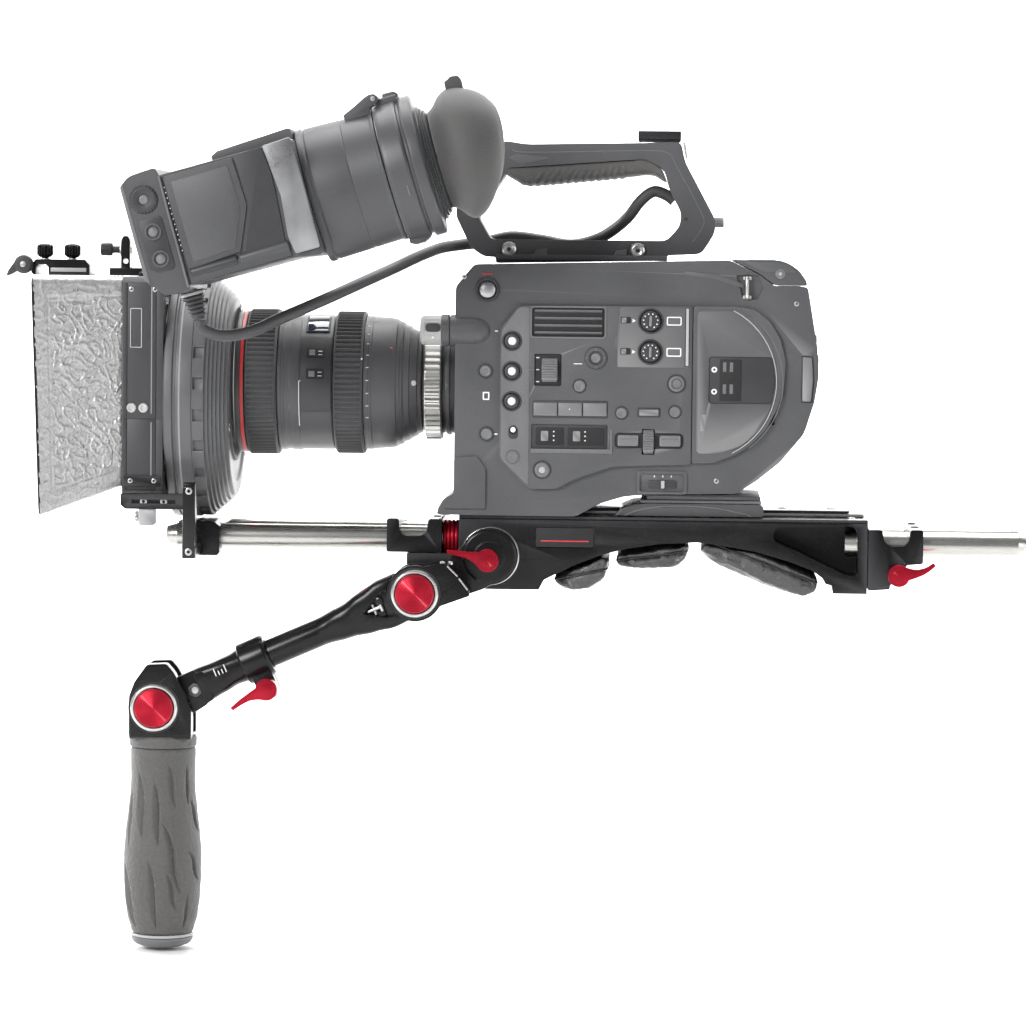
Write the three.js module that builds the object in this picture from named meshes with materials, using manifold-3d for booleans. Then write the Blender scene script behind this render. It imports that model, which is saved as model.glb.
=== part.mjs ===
// A shoulder-mounted cinema camera rig: shoulder frame with 15 mm rods and pads, a folding
// side handle, a camera body with lens, top handle and eyepiece viewfinder, and a matte box.
// Millimetres, +Z up. +X points to the rear of the rig and the operator's side faces -Y.
// The origin is the centre of the flat tripod face under the shoulder frame.
import * as THREE from 'three';
import { mergeVertices } from 'three/addons/utils/BufferGeometryUtils.js';
import Module from 'manifold-3d';

const wasm = await Module();
wasm.setup();

// ---------------------------------------------------------------- driving dimensions
const TRIPOD_FACE_X = -23;          // centre of the tripod face, measured from the pad arch
const GAP = 0.3;                    // clearance between touching pieces
const SIDES = 24;                   // facets of a round piece

const ROD_RADIUS = 7.5;             // the 15 mm rod standard
const ROD_SPREAD = 30;              // half of the 60 mm rod spacing
const ROD_HEIGHT = 29;
const ROD_BORE = ROD_RADIUS + 0.4;
const FRAME_TOP = 44;
const FRAME_HALF_WIDTH = 45;

const LENS_AXIS_HEIGHT = 121.2;
const CAMERA_HALF_WIDTH = 50;
const CAMERA_BOTTOM = 44.4;
const CAMERA_FRONT = -58;
const PANEL_THICKNESS = 2.7;
const SHELL_WALL = 3;

const ROSETTE = { x: -36, z: 20.3, radius: 17.8 };
const ARM_PIVOT = { x: -78.3, y: -70, z: 0 };
const ARM_TILT = 23.7;              // degrees the arm points below the horizontal
const ARM_LENGTH = 168.2;           // between the two push-button pivots
const GRIP_PIVOT = { x: -231.5, y: -70, z: -69.5 };
const GRIP_AXIS_X = -228;
const CHEEK_OUTER = 18;             // half width of a fork
const CHEEK_INNER = 8.3;            // half width of its slot
const TONGUE = 7.7;                 // half thickness of the tongue in it
const BUTTON_RADIUS = 11.5;

const FINDER = { x: -170, y: -114, z: 222, tilt: 16.4 };
const FINDER_HALF_WIDTH = 46;
const FINDER_PIVOT = { x: -168.6, z: 252.6 };
const MATTE_HALF_WIDTH = 66;
const CABLE_RADIUS = 3.5;

// ---------------------------------------------------------------- materials
function finish(color, roughness, metalness) {
  return () => new THREE.MeshStandardMaterial({ color, roughness, metalness });
}
const blackMetal = finish(0x17171a, 0.38, 0.8);
const steel = finish(0xb9b7b0, 0.28, 1.0);
const redMetal = finish(0xa81430, 0.3, 0.7);
const cameraPlastic = finish(0x56565a, 0.6, 0.0);
const lensPlastic = finish(0x3c3c40, 0.5, 0.1);
const keyPlastic = finish(0x6a6a6e, 0.5, 0.0);
const rubber = finish(0x4c4b49, 0.85, 0.0);
const leather = finish(0x1d1c1c, 0.6, 0.0);
const hoodSkin = finish(0x9b9a98, 0.7, 0.0);
const cableJacket = finish(0x3a3a3c, 0.6, 0.0);
const circuit = finish(0x2c4a38, 0.6, 0.1);

// ---------------------------------------------------------------- solids
function signedVolume(position, index) {
  const a = new THREE.Vector3();
  const b = new THREE.Vector3();
  const c = new THREE.Vector3();
  let volume = 0;
  for (let i = 0; i < index.count; i += 3) {
    a.fromBufferAttribute(position, index.getX(i));
    b.fromBufferAttribute(position, index.getX(i + 1));
    c.fromBufferAttribute(position, index.getX(i + 2));
    volume += a.dot(b.cross(c)) / 6;
  }
  return volume;
}

function solid(geometry) {
  geometry.deleteAttribute('normal');
  geometry.deleteAttribute('uv');
  const merged = mergeVertices(geometry, 1e-4);
  const vertProperties = new Float32Array(merged.attributes.position.array);
  const triVerts = new Uint32Array(merged.index.array);
  if (signedVolume(merged.attributes.position, merged.index) < 0) triVerts.reverse();
  return new wasm.Manifold(new wasm.Mesh({ numProp: 3, vertProperties, triVerts }));
}

function surface(manifold) {
  const mesh = manifold.getMesh();
  const geometry = new THREE.BufferGeometry();
  geometry.setAttribute('position', new THREE.BufferAttribute(mesh.vertProperties, 3));
  geometry.setIndex(new THREE.BufferAttribute(mesh.triVerts, 1));
  const faceted = geometry.toNonIndexed();
  faceted.computeVertexNormals();
  return faceted;
}

function box(x, y, z) {
  const geometry = new THREE.BoxGeometry(x[1] - x[0], y[1] - y[0], z[1] - z[0]);
  geometry.translate((x[0] + x[1]) / 2, (y[0] + y[1]) / 2, (z[0] + z[1]) / 2);
  return solid(geometry);
}

// A box whose Y and Z extents differ at its two X ends.
function taperedBox(x, front, rear) {
  const geometry = new THREE.BoxGeometry(1, 1, 1);
  const position = geometry.attributes.position;
  for (let i = 0; i < position.count; i += 1) {
    const end = position.getX(i) < 0 ? front : rear;
    const high = position.getZ(i) > 0;
    const side = position.getY(i) > 0 ? 1 : -1;
    position.setXYZ(i, position.getX(i) < 0 ? x[0] : x[1], side * end.halfWidth,
      high ? end.top : end.bottom);
  }
  return solid(geometry);
}

function outline(points) {
  return points instanceof THREE.Shape
    ? points : new THREE.Shape(points.map(([a, b]) => new THREE.Vector2(a, b)));
}

// An outline in the XZ plane, given thickness along Y.
function prismY(points, y) {
  const geometry = new THREE.ExtrudeGeometry(outline(points),
    { depth: y[1] - y[0], bevelEnabled: false, curveSegments: 6 });
  geometry.rotateX(Math.PI / 2);
  geometry.translate(0, y[1], 0);
  return solid(geometry);
}

// An outline in the YZ plane, given length along X.
function prismX(points, x) {
  const geometry = new THREE.ExtrudeGeometry(outline(points),
    { depth: x[1] - x[0], bevelEnabled: false, curveSegments: 6 });
  const axes = new THREE.Matrix4().set(0, 0, 1, x[0], 1, 0, 0, 0, 0, 1, 0, 0, 0, 0, 0, 1);
  geometry.applyMatrix4(axes);
  return solid(geometry);
}

const TO_AXIS = {
  x: new THREE.Matrix4().makeRotationZ(-Math.PI / 2),
  y: new THREE.Matrix4(),
  z: new THREE.Matrix4().makeRotationX(Math.PI / 2),
};

// A cylinder along an axis, from one station to the other, centred on the two other coordinates.
function round(axis, span, centre, radius, sides = SIDES) {
  const geometry = new THREE.CylinderGeometry(radius, radius, span[1] - span[0], sides);
  geometry.applyMatrix4(TO_AXIS[axis]);
  const middle = (span[0] + span[1]) / 2;
  const place = { x: [middle, ...centre], y: [centre[0], middle, centre[1]], z: [...centre, middle] };
  geometry.translate(...place[axis]);
  return solid(geometry);
}

// A turned piece: [radius, station] pairs about the X axis or the Z axis.
function turned(axis, profile, sides = SIDES) {
  const points = profile.map(([radius, station]) => new THREE.Vector2(radius, station));
  const geometry = new THREE.LatheGeometry(points, sides);
  geometry.applyMatrix4(TO_AXIS[axis]);
  return solid(geometry);
}

function join(first, ...others) {
  return others.reduce((whole, piece) => whole.add(piece), first);
}

function cut(body, ...tools) {
  return tools.reduce((left, tool) => left.subtract(tool), body);
}

function group(parent, x = 0, y = 0, z = 0, tilt = 0) {
  const made = new THREE.Group();
  made.position.set(x, y, z);
  made.rotation.y = -THREE.MathUtils.degToRad(tilt);
  parent.add(made);
  return made;
}

function place(parent, name, manifold, material) {
  const mesh = new THREE.Mesh(surface(manifold), material());
  mesh.name = name;
  parent.add(mesh);
}

const assembly = new THREE.Group();
const rig = group(assembly, -TRIPOD_FACE_X);

// ---------------------------------------------------------------- shoulder frame and rods
const ARCH = [[-7, 0], [-3.8, 6], [0, 7.9], [29.6, 21.1], [46, 25.4], [65, 28.3], [87, 29.4],
  [101, 27.9], [121.5, 24.5], [142.1, 18.6], [155.4, 13.7], [161.6, 9.2], [163.7, 5.6],
  [167.3, 4.9], [168.1, 0]];
const FRAME_END = 188.3;

function frameWindows() {
  const pocket = [[132.7, 38.5], [181.5, 40.5], [183, 11], [177, 10.4], [132.7, 30.8]];
  return [prismY(pocket, [-46, -13]), prismY(pocket, [13, 46])];
}

function rodBores(x) {
  return [-1, 1].map((side) => round('x', x, [side * ROD_SPREAD, ROD_HEIGHT], ROD_BORE));
}

function shoulderFrame() {
  const side = [[-55, FRAME_TOP], [-55, 21], [-86, 21], [-86, 14.3], [-55, 12], [-39, 0], ...ARCH,
    [FRAME_END, 0], [FRAME_END, FRAME_TOP]];
  const whole = prismY(side, [-FRAME_HALF_WIDTH, FRAME_HALF_WIDTH]);
  const collarRoom = round('x', [-66, -55], [-ROD_SPREAD, ROD_HEIGHT], 12.2);
  return cut(whole, collarRoom, ...frameWindows(), ...rodBores([-56, -16]), ...rodBores([172, 190]));
}

function dovetailRail() {
  const rail = box([17, 187], [-20, 20], [FRAME_TOP + GAP, 46.3]);
  const slots = [box([35, 80], [-3.2, 3.2], [44, 47]), box([95, 140], [-3.2, 3.2], [44, 47])];
  return cut(rail, ...slots);
}

function frontRodBlock() {
  const side = [[-98, 41.5], [-98, 21.5], [-65.3, 21.5], [-65.3, 41.5], [-73.5, 41.5], [-74.5, 34],
    [-77.5, 31.5], [-87.5, 31.5], [-90, 34], [-90.5, 41.5]];
  const whole = prismY(side, [-FRAME_HALF_WIDTH, FRAME_HALF_WIDTH]);
  return cut(whole, ...rodBores([-99, -64]));
}

function rearRodBlock() {
  const side = [[188.7, 38.3], [188.7, 2], [202, 3], [202, 6], [211, 6], [211.3, 17.5], [221.4, 18.3],
    [221.2, 38.5], [213.7, 38.5], [213, 32], [210.5, 29], [201, 29], [198, 32], [196.8, 38.3]];
  const whole = prismY(side, [-FRAME_HALF_WIDTH, FRAME_HALF_WIDTH]);
  return cut(whole, ...rodBores([188, 222]));
}

function rod(from, to) {
  const bevel = 5;
  const tip = ROD_RADIUS - 1.9;
  const front = from < 0 ? [[0, from], [tip, from], [ROD_RADIUS, from + bevel + 1.5]]
    : [[0, from], [ROD_RADIUS, from]];
  const rear = from < 0 ? [[ROD_RADIUS, to], [0, to]]
    : [[ROD_RADIUS, to - bevel], [tip, to], [0, to]];
  return turned('x', [...front, ...rear]);
}

function lockCollar() {
  const ribs = [[7.95, -64.9], [11.4, -64.9], [11.4, -63.4], [10.3, -62.9], [11.4, -62.4],
    [11.4, -60.9], [10.3, -60.4], [11.4, -59.9], [11.4, -58.4], [10.3, -57.9], [11.4, -57.4],
    [11.4, -55.4], [7.95, -55.4], [7.95, -64.9]];
  return turned('x', ribs);
}

// A clamp lever seen along Y: a round head with a swept tail towards -X.
function lockLever(head, reach, y) {
  const shape = new THREE.Shape();
  const open = 0.62;
  shape.absarc(0, 0, head, Math.PI - open, -Math.PI + open, true);
  shape.quadraticCurveTo(-head * 1.7, -0.6, -reach, 0.4);
  shape.lineTo(-reach, 3.2);
  shape.quadraticCurveTo(-head * 1.7, 3, Math.cos(Math.PI - open) * head, Math.sin(open) * head);
  return prismY(shape, y);
}

const PADS = {
  front_pad: [[1.8, 6.8], [6, 2], [12, 0.9], [23.4, 2], [32, 7.5], [34.6, 14.5], [34, 21.3],
    [29.6, 20.2]],
  middle_pad: [[36.6, 22], [38.5, 14.5], [74.5, 15.2], [81, 18.2], [84.4, 28.6], [65, 27.7],
    [46, 24.8]],
  rear_pad: [[87.7, 28.7], [87.8, 23.4], [101.3, 16.4], [127.1, 5.4], [150.8, -2], [158, 0.7],
    [160.8, 8.6], [155.1, 13], [141.9, 17.9], [121.4, 23.8], [101, 27.2]],
};
const PAD_HALF_WIDTH = 42;

const base = group(rig);
place(base, 'shoulder_frame', shoulderFrame(), blackMetal);
place(base, 'dovetail_rail', dovetailRail(), steel);
place(base, 'front_rod_block', frontRodBlock(), blackMetal);
place(base, 'rear_rod_block', rearRodBlock(), blackMetal);
for (const [name, side] of Object.entries(PADS)) {
  place(base, name, prismY(side, [-PAD_HALF_WIDTH, PAD_HALF_WIDTH]), leather);
}
place(base, 'rosette_disc',
  round('y', [-49.4, -45.3], [ROSETTE.x, ROSETTE.z], ROSETTE.radius), steel);

const rods = group(rig, 0, 0, ROD_HEIGHT);
const rodPairs = { front: [-231, -20], rear: [175, 283.4] };
for (const [end, [from, to]] of Object.entries(rodPairs)) {
  place(group(rods, 0, -ROD_SPREAD), `${end}_rod_left`, rod(from, to), steel);
  place(group(rods, 0, ROD_SPREAD), `${end}_rod_right`, rod(from, to), steel);
}
place(group(rods, 0, -ROD_SPREAD), 'lock_collar', lockCollar(), redMetal);

const rearLever = group(rig, 206.8, 0, 11.5, 195.5);
place(rearLever, 'rear_lock_lever', lockLever(6.5, 22.5, [-53.5, -45.5]), redMetal);

// ---------------------------------------------------------------- folding side handle
const HANDLE_Y = [ARM_PIVOT.y - CHEEK_OUTER, ARM_PIVOT.y + CHEEK_OUTER];
const CHEEKS_Y = [[ARM_PIVOT.y - CHEEK_OUTER, ARM_PIVOT.y - CHEEK_INNER],
  [ARM_PIVOT.y + CHEEK_INNER, ARM_PIVOT.y + CHEEK_OUTER]];

function buttonBore(pivot) {
  return round('y', [HANDLE_Y[0] - 1, -80], [pivot.x, pivot.z], BUTTON_RADIUS + 0.4);
}

// The bezel ring that stands round a push button on a fork's outer cheek.
function bezel(pivot) {
  const ring = round('y', [HANDLE_Y[0] - 2, HANDLE_Y[0] + 0.5], [pivot.x, pivot.z], 14.4);
  return cut(ring, round('y', [HANDLE_Y[0] - 3, HANDLE_Y[0] + 1], [pivot.x, pivot.z],
    BUTTON_RADIUS + 0.4));
}

function armBracket() {
  const crown = [[-74, 15.5], [-66, 17.2], [-60.3, 17.2], [-52, 9], [-45, 0], [-64, -7.6],
    [-72, -15], [-80, 0]];
  const cheeks = CHEEKS_Y.map((y) => join(round('y', y, [ARM_PIVOT.x, ARM_PIVOT.z], 16.5),
    prismY(crown, y)));
  const bridge = prismY([[-60.2, 17.1], [-52, 9], [-45, 0], [-60, -6]], HANDLE_Y);
  const link = prismY([[-62, 17], [-60, -6.4], [-38, 1.4], [-20, 14], [-36, 37], [-48, 31]],
    [-59.5, -49.7]);
  const hub = round('y', [-59.5, -49.7], [ROSETTE.x, ROSETTE.z], ROSETTE.radius);
  return cut(join(link, hub, bridge, ...cheeks, bezel(ARM_PIVOT)), buttonBore(ARM_PIVOT));
}

function pushButton(pivot) {
  return round('y', [HANDLE_Y[0] - 4, -82.5], [pivot.x, pivot.z], BUTTON_RADIUS);
}

const handle = group(rig);
place(handle, 'arm_bracket', armBracket(), blackMetal);
place(handle, 'upper_push_button', pushButton(ARM_PIVOT), redMetal);
place(handle, 'lower_push_button', pushButton(GRIP_PIVOT), redMetal);
const armLever = group(rig, -37, 0, 18.5, -8);
place(armLever, 'arm_lock_lever', lockLever(6.8, 24.6, [-67, -59.9]), redMetal);

// The arm is drawn along its own axis: it runs from the upper pivot towards -X.
const arm = group(rig, ARM_PIVOT.x, ARM_PIVOT.y, ARM_PIVOT.z, ARM_TILT);
const TUBE_RADIUS = 8.3;
const TUBE_BORE = TUBE_RADIUS + 0.4;
const CLAMP = [-112, -95];          // clamp ring at the mouth of the lower arm

function upperArm() {
  const body = prismY([[-19, 15], [-19, -14.6], [-30, -12.6], [-47, -10], [-47, 9.4], [-30, 12.8]],
    [-12, 12]);
  const pocket = prismY([[-21.5, 8], [-34, 0.5], [-21.5, -7]], [-13, -6]);
  const neck = box([-22, 0], [-TONGUE, TONGUE], [-11, 11]);
  const tongue = round('y', [-TONGUE, TONGUE], [0, 0], 14);
  const tube = round('x', [-116, -40], [0, 0], TUBE_RADIUS);
  return join(cut(body, pocket), neck, tongue, tube);
}

function lowerArm() {
  const ring = round('x', CLAMP, [0, 0], 12.5);
  const ear = box([-109, -97], [-9, 9], [-24.5, -9]);
  const body = prismY([[-111, 8.5], [-111, -8.5], [-125, -10], [-138, -12], [-138, 9.5],
    [-125, 8.5]], [-12, 12]);
  const neck = prismY([[-136, 9], [-136, -12.5], [-148, -14.5], [-156, -12], [-ARM_LENGTH, -14],
    [-ARM_LENGTH, 10], [-150, 8.6]], [-TONGUE, TONGUE]);
  const tongue = round('y', [-TONGUE, TONGUE], [-ARM_LENGTH, -2.1], 13.5);
  const bore = round('x', [-137, -94], [0, 0], TUBE_BORE);
  return cut(join(ring, ear, body, neck, tongue), bore);
}

place(arm, 'upper_arm', upperArm(), blackMetal);
place(arm, 'lower_arm', lowerArm(), blackMetal);
const tubeLever = group(arm, -103.2, 0, -18.1);
place(tubeLever, 'tube_lock_lever', lockLever(6.5, 24, [-17.5, -9.4]), redMetal);

function gripJoint() {
  const side = [[-246.5, -86], [-246.5, -62], [-243, -53], [-235, -43.5], [-222.5, -43],
    [-219, -48.5], [-214, -62], [-209.6, -72], [-209.6, -86]];
  const cheeks = CHEEKS_Y.map((y) => prismY(side, y));
  const floor = box([-246.5, -209.6], HANDLE_Y, [-88, -85.5]);
  const collar = round('z', [-94, -87], [GRIP_AXIS_X, ARM_PIVOT.y], 20);
  const whole = join(...cheeks, floor, collar, bezel(GRIP_PIVOT));
  return cut(whole, buttonBore(GRIP_PIVOT));
}

const gripAxis = group(rig, GRIP_AXIS_X, ARM_PIVOT.y);
place(handle, 'grip_joint', gripJoint(), blackMetal);
place(gripAxis, 'grip_sleeve', turned('z', [[0, -94.4], [19.4, -94.4], [19.2, -112], [22.3, -145],
  [23, -172], [21.2, -194], [18, -204.6], [0, -204.6]], 20), rubber);
place(gripAxis, 'grip_end_cap', turned('z', [[0, -205], [18.6, -205], [18, -211], [12, -214.6],
  [0, -214.6]], 20), keyPlastic);

// ---------------------------------------------------------------- camera body
const camera = group(rig);
const BODY = [[-67, CAMERA_BOTTOM], [-67.7, 47.5], [-64.2, 54], [CAMERA_FRONT, 57],
  [CAMERA_FRONT, 180], [-47, 193.5], [66, 196.1], [104.5, 197.3], [121.8, 189], [131.2, 182.1],
  [150.6, 182.1], [157.8, 129.5], [155.4, 113.8], [149.5, 95], [135.5, 78], [122, 67],
  [109.7, 59], [57, 57.9], [43, 56.5], [27.6, 51.7], [15, CAMERA_BOTTOM]];
const BODY_HOLLOW = [[-54.5, 61], [-54.5, 178], [-45, 190], [100, 193], [119, 185.4], [130, 178.5],
  [147.5, 178.5], [154.4, 129.5], [152, 115], [146.3, 97], [133, 80.5], [120, 70], [108.5, 62.3]];
const SPLIT = 0.15;                 // half of the joint line between the two shells
const WHEELS = {
  iris_wheel: { x: [-6.3, 3.1], z: 131.4 },
  select_wheel: { x: [54.2, 60.6], z: 89.4 },
};
const WHEEL_RADIUS = 8;
const WHEEL_CENTRE_Y = -48.5;
const RECORD = { x: -39.1, z: 178.4, radius: 5.2 };
const ASSIGN = { x: -24, z: [148.2, 130.3, 112.5], radius: 4.6 };
const DIALS = { x: 57.9, z: [161, 142.6], radius: 6 };
const ND = { y: -45, z: 154 };

function wheelPocket({ x, z }) {
  return round('x', [x[0] - 0.6, x[1] + 0.6], [WHEEL_CENTRE_Y, z], WHEEL_RADIUS + 0.8, 16);
}

function cameraShell(side) {
  const y = side < 0 ? [-CAMERA_HALF_WIDTH, -SPLIT] : [SPLIT, CAMERA_HALF_WIDTH];
  const hollowY = side < 0 ? [-CAMERA_HALF_WIDTH + SHELL_WALL, 1] : [-1, CAMERA_HALF_WIDTH - SHELL_WALL];
  const channel = box([-70, 32], [-24, 24], [CAMERA_BOTTOM - 1, 48.6]);
  const lensMount = round('x', [CAMERA_FRONT - 2, -50], [0, LENS_AXIS_HEIGHT], 22);
  return cut(prismY(BODY, y), prismY(BODY_HOLLOW, hollowY), channel, lensMount);
}

function leftShell() {
  const collar = round('x', [-61.1, -38], [ND.y, ND.z], 9.3);
  const vents = [155, 159, 163, 167].map((z) => box([-8, 26], [-51, -46], [z - 1, z + 1]));
  const button = round('y', [-51, -48.6], [RECORD.x, RECORD.z], RECORD.radius + 0.5, 16);
  const door = box([92, 132], [-51, -46], [100, 152]);
  const wheels = Object.values(WHEELS).map(wheelPocket);
  return cut(join(cameraShell(-1), collar), ...vents, button, door, ...wheels);
}

const PANEL_EDGE = 82.6;            // where the side panel meets the card door
const PANEL_Y = [-CAMERA_HALF_WIDTH - GAP - PANEL_THICKNESS, -CAMERA_HALF_WIDTH - GAP];

function sidePanel() {
  const side = [[-31, 155], [-31, 78], [-13, 60.6], [2.7, 60.8], [15, 67.2], [36.6, 74.5],
    [PANEL_EDGE, 76.3], [PANEL_EDGE, 169.8], [-20.2, 169.1]];
  const holes = ASSIGN.z.map((z) => round('y', [-54, -49], [ASSIGN.x, z], ASSIGN.radius + 0.5, 16));
  const vents = [155, 159, 163, 167].map((z) => box([-8, 26], [-54, -49], [z - 1, z + 1]));
  return cut(prismY(side, PANEL_Y), ...holes, ...vents, ...Object.values(WHEELS).map(wheelPocket));
}

function cardDoor() {
  const side = [[PANEL_EDGE + 0.6, 169.8], [PANEL_EDGE + 0.6, 77], [95.5, 77.4], [118.5, 88.6],
    [133.7, 110.5], [137.9, 138.4], [128.3, 161.5], [109.7, 169.8]];
  return prismY(side, PANEL_Y);
}

function rearCover() {
  const side = [[105.3, 197.7], [122, 189.5], [131.4, 182.6], [150.3, 182.6], [148.1, 188],
    [134, 197.6]];
  return prismY(side, [-CAMERA_HALF_WIDTH, CAMERA_HALF_WIDTH]);
}

function cameraFootPad() {
  const side = [[37.6, CAMERA_BOTTOM], [44.5, 51.3], [56.9, 52], [56.9, 57.5], [108, 58.3],
    [124.7, 57.5], [124.7, 53], [126.3, 50.8], [126.3, CAMERA_BOTTOM]];
  const whole = prismY(side, [-40, 40]);
  return cut(whole, box([30, 130], [-24, 24], [CAMERA_BOTTOM - 1, 48.6]));
}

place(camera, 'camera_plate', box([-40, 178], [-22, 22], [46.6, 48.1]), blackMetal);
place(camera, 'left_shell', leftShell(), cameraPlastic);
place(camera, 'right_shell', cameraShell(1), cameraPlastic);
place(camera, 'side_panel', sidePanel(), cameraPlastic);
place(camera, 'card_door', cardDoor(), cameraPlastic);
place(camera, 'rear_cover', rearCover(), cameraPlastic);
place(camera, 'camera_foot_pad', cameraFootPad(), cameraPlastic);
place(camera, 'sensor_module', box([-49, -38], [-32, 32], [94, 148]), circuit);
place(camera, 'battery_pack', box([96, 136], [-22, 22], [92, 152]), keyPlastic);
place(camera, 'record_button', round('y', [-52, -49.8], [RECORD.x, RECORD.z], RECORD.radius, 16),
  redMetal);
ASSIGN.z.forEach((z, i) => {
  place(camera, `assign_button_${i + 1}`, round('y', [-54.4, -51.6], [ASSIGN.x, z], ASSIGN.radius, 16),
    keyPlastic);
});
DIALS.z.forEach((z, i) => {
  place(camera, `audio_dial_${i + 1}`, round('y', [-57.5, -53.3], [DIALS.x, z], DIALS.radius, 16),
    keyPlastic);
});
for (const [name, wheel] of Object.entries(WHEELS)) {
  place(camera, name, round('x', wheel.x, [WHEEL_CENTRE_Y, wheel.z], WHEEL_RADIUS, 16), keyPlastic);
}
place(camera, 'nd_filter_knob', round('x', [-79, -61.5], [ND.y, ND.z], 9), steel);

// ---------------------------------------------------------------- top handle
function topHandle() {
  const side = [[-42.9, 197.9], [-51, 203.4], [-60, 221.8], [-60.1, 227.4], [-32.3, 267.8],
    [-17.8, 265], [49.7, 267], [74.5, 268], [77.1, 256], [96, 221], [95.3, 213], [87.4, 200.8],
    [67, 199.9], [67, 196.6], [-36, 194.2], [-36, 197.9]];
  const loop = [[-36.5, 208.4], [-38.9, 209.2], [-47.1, 222.7], [-31, 246.5], [-29.2, 251.3],
    [53, 257.4], [64.6, 251.4], [67.5, 240], [75.1, 225.6], [74.4, 217.5], [66.5, 208.6]];
  const knob = round('x', [93, 101], [0, 220], 2.8, 12);
  return join(cut(prismY(side, [-13, 13]), prismY(loop, [-14, 14])), knob);
}

function coldShoe() {
  const section = [[-10, 268.7], [10, 268.7], [10, 269.6], [12, 269.6], [12, 274.3], [6.4, 274.3],
    [6.4, 272.9], [9.6, 272.9], [9.6, 270.9], [-9.6, 270.9], [-9.6, 272.9], [-6.4, 272.9],
    [-6.4, 274.3], [-12, 274.3], [-12, 269.6], [-10, 269.6]];
  return prismX(section, [48.7, 74.5]);
}

place(camera, 'top_handle', topHandle(), cameraPlastic);
place(camera, 'handle_grip', prismY([[-28.9, 250.9], [-30.5, 246.6], [-20, 240.6], [43.5, 247.2],
  [56.3, 247.5], [65, 243.8], [64.2, 251], [53, 257]], [-14.5, 14.5]), rubber);
place(camera, 'cold_shoe', coldShoe(), blackMetal);

// ---------------------------------------------------------------- lens
const lens = group(rig, 0, 0, LENS_AXIS_HEIGHT);
const LENS_SIDES = 28;
place(lens, 'mount_lock_ring', turned('x', [[27, -78], [34, -78], [34, -66.8], [30, -66.8],
  [30, CAMERA_FRONT - GAP], [27, CAMERA_FRONT - GAP], [27, -78]], LENS_SIDES), steel);
place(lens, 'lens_barrel', turned('x', [[0, -175], [31, -175], [34, -191], [42.6, -191],
  [42.6, -184.6], [38.2, -184.6], [38.2, -165.3], [40.5, -165.3], [41, -131.7], [38.2, -131.7],
  [38.2, -113.5], [40.8, -113.5], [39, -94], [34.5, -86], [30, -79.5], [26.4, -78.5],
  [26.4, CAMERA_FRONT - 0.4], [0, CAMERA_FRONT - 0.4]], LENS_SIDES), lensPlastic);
place(lens, 'focus_ring', turned('x', [[39, -184.2], [43.9, -184.2], [43.9, -165.7], [39, -165.7],
  [39, -184.2]], LENS_SIDES), rubber);
place(lens, 'zoom_ring', turned('x', [[39, -131.3], [43, -131.3], [43, -113.9], [39, -113.9],
  [39, -131.3]], LENS_SIDES), rubber);

// ---------------------------------------------------------------- viewfinder
function finderArm() {
  const long = round('x', [-170, -47.8], [0, FINDER_PIVOT.z], 6, 16);
  const block = box([-182, -156], [-12, 12], [242, 264]);
  const cross = round('y', [-66, -11], [FINDER_PIVOT.x, FINDER_PIVOT.z], 6, 16);
  return join(block, long, cross);
}
place(camera, 'finder_arm', finderArm(), blackMetal);

// Drawn along the eyepiece axis, which is +X in the tilted group.
const finder = group(rig, FINDER.x, FINDER.y, FINDER.z, FINDER.tilt);
const FINDER_PIVOT_LOCAL = [10, 29];

function finderHousing() {
  const side = [[-68, -23], [-67, 34], [-45, 38.8], [-45, 33.5], [17, 33.5], [34, 36], [34, -37],
    [-20, -34], [-45, -31], [-45, -33], [-59, -33]];
  const monitor = prismY(side, [-FINDER_HALF_WIDTH, FINDER_HALF_WIDTH]);
  const tube = round('x', [30, 80], [0, 0], 36.5);
  const clamp = prismY([[-14, 18], [-10, 40], [28, 42], [33, 18]], [FINDER_HALF_WIDTH - 1, 60]);
  const light = round('x', [-38, 81], [0, 0], 30);
  const bore = round('y', [47, 61], FINDER_PIVOT_LOCAL, 6.5, 16);
  return cut(join(monitor, tube, clamp), light, bore);
}

function loupe() {
  const turnedPart = turned('x', [[22, 80.4], [39, 80.4], [39, 93], [40.5, 93.5], [40.5, 103],
    [29, 104], [29, 110], [22, 110], [22, 80.4]]);
  return join(turnedPart, box([83, 96], [-9, 9], [36, 45]));
}

// The cup flares from its neck, and its rim reaches further back on the operator's temple side.
function eyecup() {
  const cup = turned('x', [[24, 110.4], [29, 110.4], [36, 117], [38.5, 127], [37.5, 138],
    [33, 149], [30.5, 148], [35, 137.5], [36, 127], [33.5, 118.5], [24, 113.5], [24, 110.4]]);
  const trim = new THREE.BoxGeometry(60, 140, 120);
  trim.translate(30, 0, 0);
  trim.rotateZ(THREE.MathUtils.degToRad(21));
  trim.translate(134, 0, 0);
  return cut(cup, solid(trim));
}

function cableBoot() {
  return turned('z', [[0, -50.6], [4.6, -50.6], [7, -33.6], [0, -33.6]], 16);
}

place(finder, 'finder_housing', finderHousing(), cameraPlastic);
place(finder, 'loupe', loupe(), cameraPlastic);
place(finder, 'eyecup', eyecup(), rubber);
place(group(finder, -48, -11), 'cable_boot', cableBoot(), rubber);

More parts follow.
